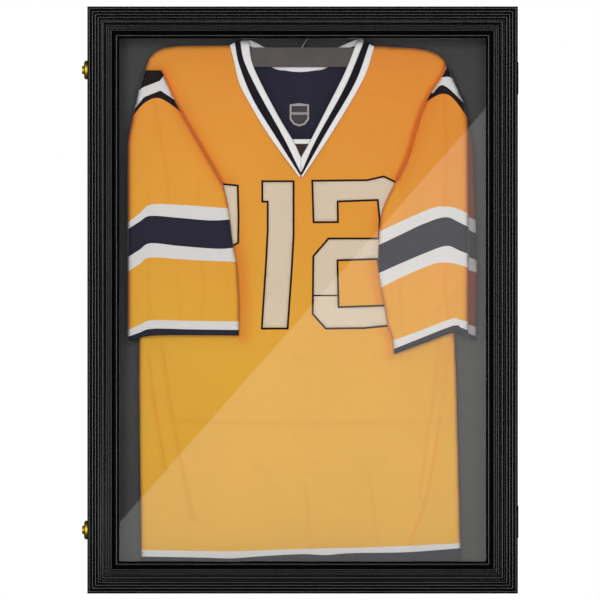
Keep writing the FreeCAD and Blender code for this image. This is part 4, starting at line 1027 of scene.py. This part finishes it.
def dress():
    """The whole garment, riding on the hanger."""
    shirt = make_body()
    left, right = make_sleeves()
    painted_fold_shade = make_underlay()
    collar = make_collar()
    numbers = make_numbers()
    neck = make_neck()
    # the cord's red-orange is partly the seam's own thread and partly a painted shade line along the
    # armhole
    thread = rib("seam_thread_and_shade", (0.66, 0.21, 0.03))
    seams = [seam("armhole_seam_left", LEFT_ARMHOLE, thread),
             seam("armhole_seam_right", RIGHT_ARMHOLE, thread)]
    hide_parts("jersey_body")
    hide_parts("jersey_sleeve_left")
    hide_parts("jersey_sleeve_right")
    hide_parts("jersey_collar")
    for piece in [shirt, left, right, painted_fold_shade, *collar, *numbers, *neck, *seams]:
        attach(piece, "hanger")


# ---- studio

CAMERA = Vector((-0.004, -5.066, 0.0))
SEEN_WIDTH = 0.9188  # across the view, at the front of the frame
CARD_BACK = 0.14  # how far the glare card stands behind the camera
GLARE_FOOT = -0.340  # X where the glare's slanted edge meets the panel's bottom
GLARE_BEND = (0.279, 0.292)  # X and Z where the edge turns steeper
GLARE_TOP = 0.331  # Z where it meets the panel's right side
GLARE_STRENGTH = 1.14
GLARE_COLOUR = (1.0, 0.98, 0.93, 1.0)
SEEN_GREY, LIGHT_GREY, MIRRORED_GREY = 1.0, 0.50, 0.01
FLOOR_SIZE = 5.0
FLOOR_DROP = 0.25  # the case hangs this far above the floor

# Each softbox: its name, place, width and height, and power in watts.
SOFTBOXES = [
    ("key_left", (-1.25, -4.6, 0.25), (0.7, 2.3), 67),
    ("key_right", (1.25, -4.6, 0.0), (0.5, 2.3), 35),
    ("key_top", (0.0, -4.4, 1.35), (1.8, 0.6), 40),
    ("key_bottom", (0.0, -4.6, -1.25), (1.8, 0.4), 11),
]


def set_camera():
    """A camera level with the middle of the case, far enough away to look nearly flat."""
    camera = add_object("camera", bpy.data.cameras.new("camera"))
    camera.location = CAMERA
    camera.rotation_euler = (math.pi / 2, 0, 0)
    front = CAD_BOUNDS[0][1]
    camera.data.lens = camera.data.sensor_width * (front - CAMERA.y) / SEEN_WIDTH
    bpy.context.scene.camera = camera


def softbox(name, place, size, power):
    """A soft light that faces the middle of the case."""
    light = bpy.data.lights.new(name, "AREA")
    light.shape = "RECTANGLE"
    light.size, light.size_y = size
    light.energy = power
    made = add_object(name, light)
    made.location = place
    made.rotation_euler = (-Vector(place)).to_track_quat("-Z", "Z").to_euler()


def set_world():
    """White behind the object, softer grey as light, and dark in reflections."""
    world = bpy.data.worlds.new("studio")
    world.use_nodes = True
    bpy.context.scene.world = world
    nodes, links = world.node_tree.nodes, world.node_tree.links
    path = nodes.new("ShaderNodeLightPath")

    def grey(strength):
        background = nodes.new("ShaderNodeBackground")
        background.inputs["Color"].default_value = (1, 1, 1, 1)
        background.inputs["Strength"].default_value = strength
        return background.outputs[0]

    def choose(ray, others, chosen):
        mix = nodes.new("ShaderNodeMixShader")
        for socket, source in zip(mix.inputs, (path.outputs[ray], others, chosen)):
            links.new(source, socket)
        return mix.outputs[0]

    unseen = choose("Is Glossy Ray", grey(LIGHT_GREY), grey(MIRRORED_GREY))
    seen = choose("Is Camera Ray", unseen, grey(SEEN_GREY))
    links.new(seen, nodes["World Output"].inputs["Surface"])


def glow(name, colour, strength):
    """A surface that only gives light."""
    material = bpy.data.materials.new(name)
    material.use_nodes = True
    nodes = material.node_tree.nodes
    nodes.remove(nodes["Principled BSDF"])
    light = nodes.new("ShaderNodeEmission")
    light.inputs["Strength"].default_value = strength
    light.inputs["Color"].default_value = colour
    material.node_tree.links.new(light.outputs[0], nodes["Material Output"].inputs["Surface"])
    return material


def mirrored(point):
    """Where the panel shows, at this point of it, the plane just behind the camera."""
    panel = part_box("clear_panel")[0].y
    away_from_panel = panel - CAMERA.y
    reach = (away_from_panel + CARD_BACK) / away_from_panel
    return [point[0] + (point[0] - CAMERA.x) * reach, CAMERA.y - CARD_BACK,
            point[1] + (point[1] - CAMERA.z) * reach]


def set_glare():
    """A bright card with a slanting edge, seen only as its mirror image in the glossy surfaces."""
    low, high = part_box("clear_panel")
    shown = [(GLARE_FOOT, low.z), (high.x, low.z), (high.x, GLARE_TOP), GLARE_BEND]
    mesh = bpy.data.meshes.new("glare_card")
    mesh.from_pydata([mirrored(point) for point in shown], [], [list(range(len(shown)))])
    mesh.materials.append(glow("glare", GLARE_COLOUR, GLARE_STRENGTH))
    card = add_object("glare_card", mesh)
    card.visible_camera = False
    card.visible_diffuse = False
    card.visible_transmission = False
    card.visible_shadow = False


def set_floor():
    """A pale floor that doesn't show in reflections."""
    bottom = CAD_BOUNDS[0][2]
    bpy.ops.mesh.primitive_plane_add(size=FLOOR_SIZE, location=(0, 0, bottom - FLOOR_DROP))
    floor = bpy.context.object
    floor.name = "floor"
    tree = Tree("floor_paint", rough=0.8, specular=0.1)
    speck = tree.grain(3.0)
    tree.colour(tree.ramp(speck, [(0.3, 0.86), (0.7, 0.89)]))
    floor.data.materials.append(tree.material)
    floor.visible_glossy = False


def light_studio():
    """The world, four softboxes, the glare card and the floor."""
    set_world()
    for name, place, size, power in SOFTBOXES:
        softbox(name, place, size, power)
    set_glare()
    set_floor()


bpy.context.scene.view_settings.view_transform = "Standard"
paint_frame()
dress()
set_camera()
light_studio()
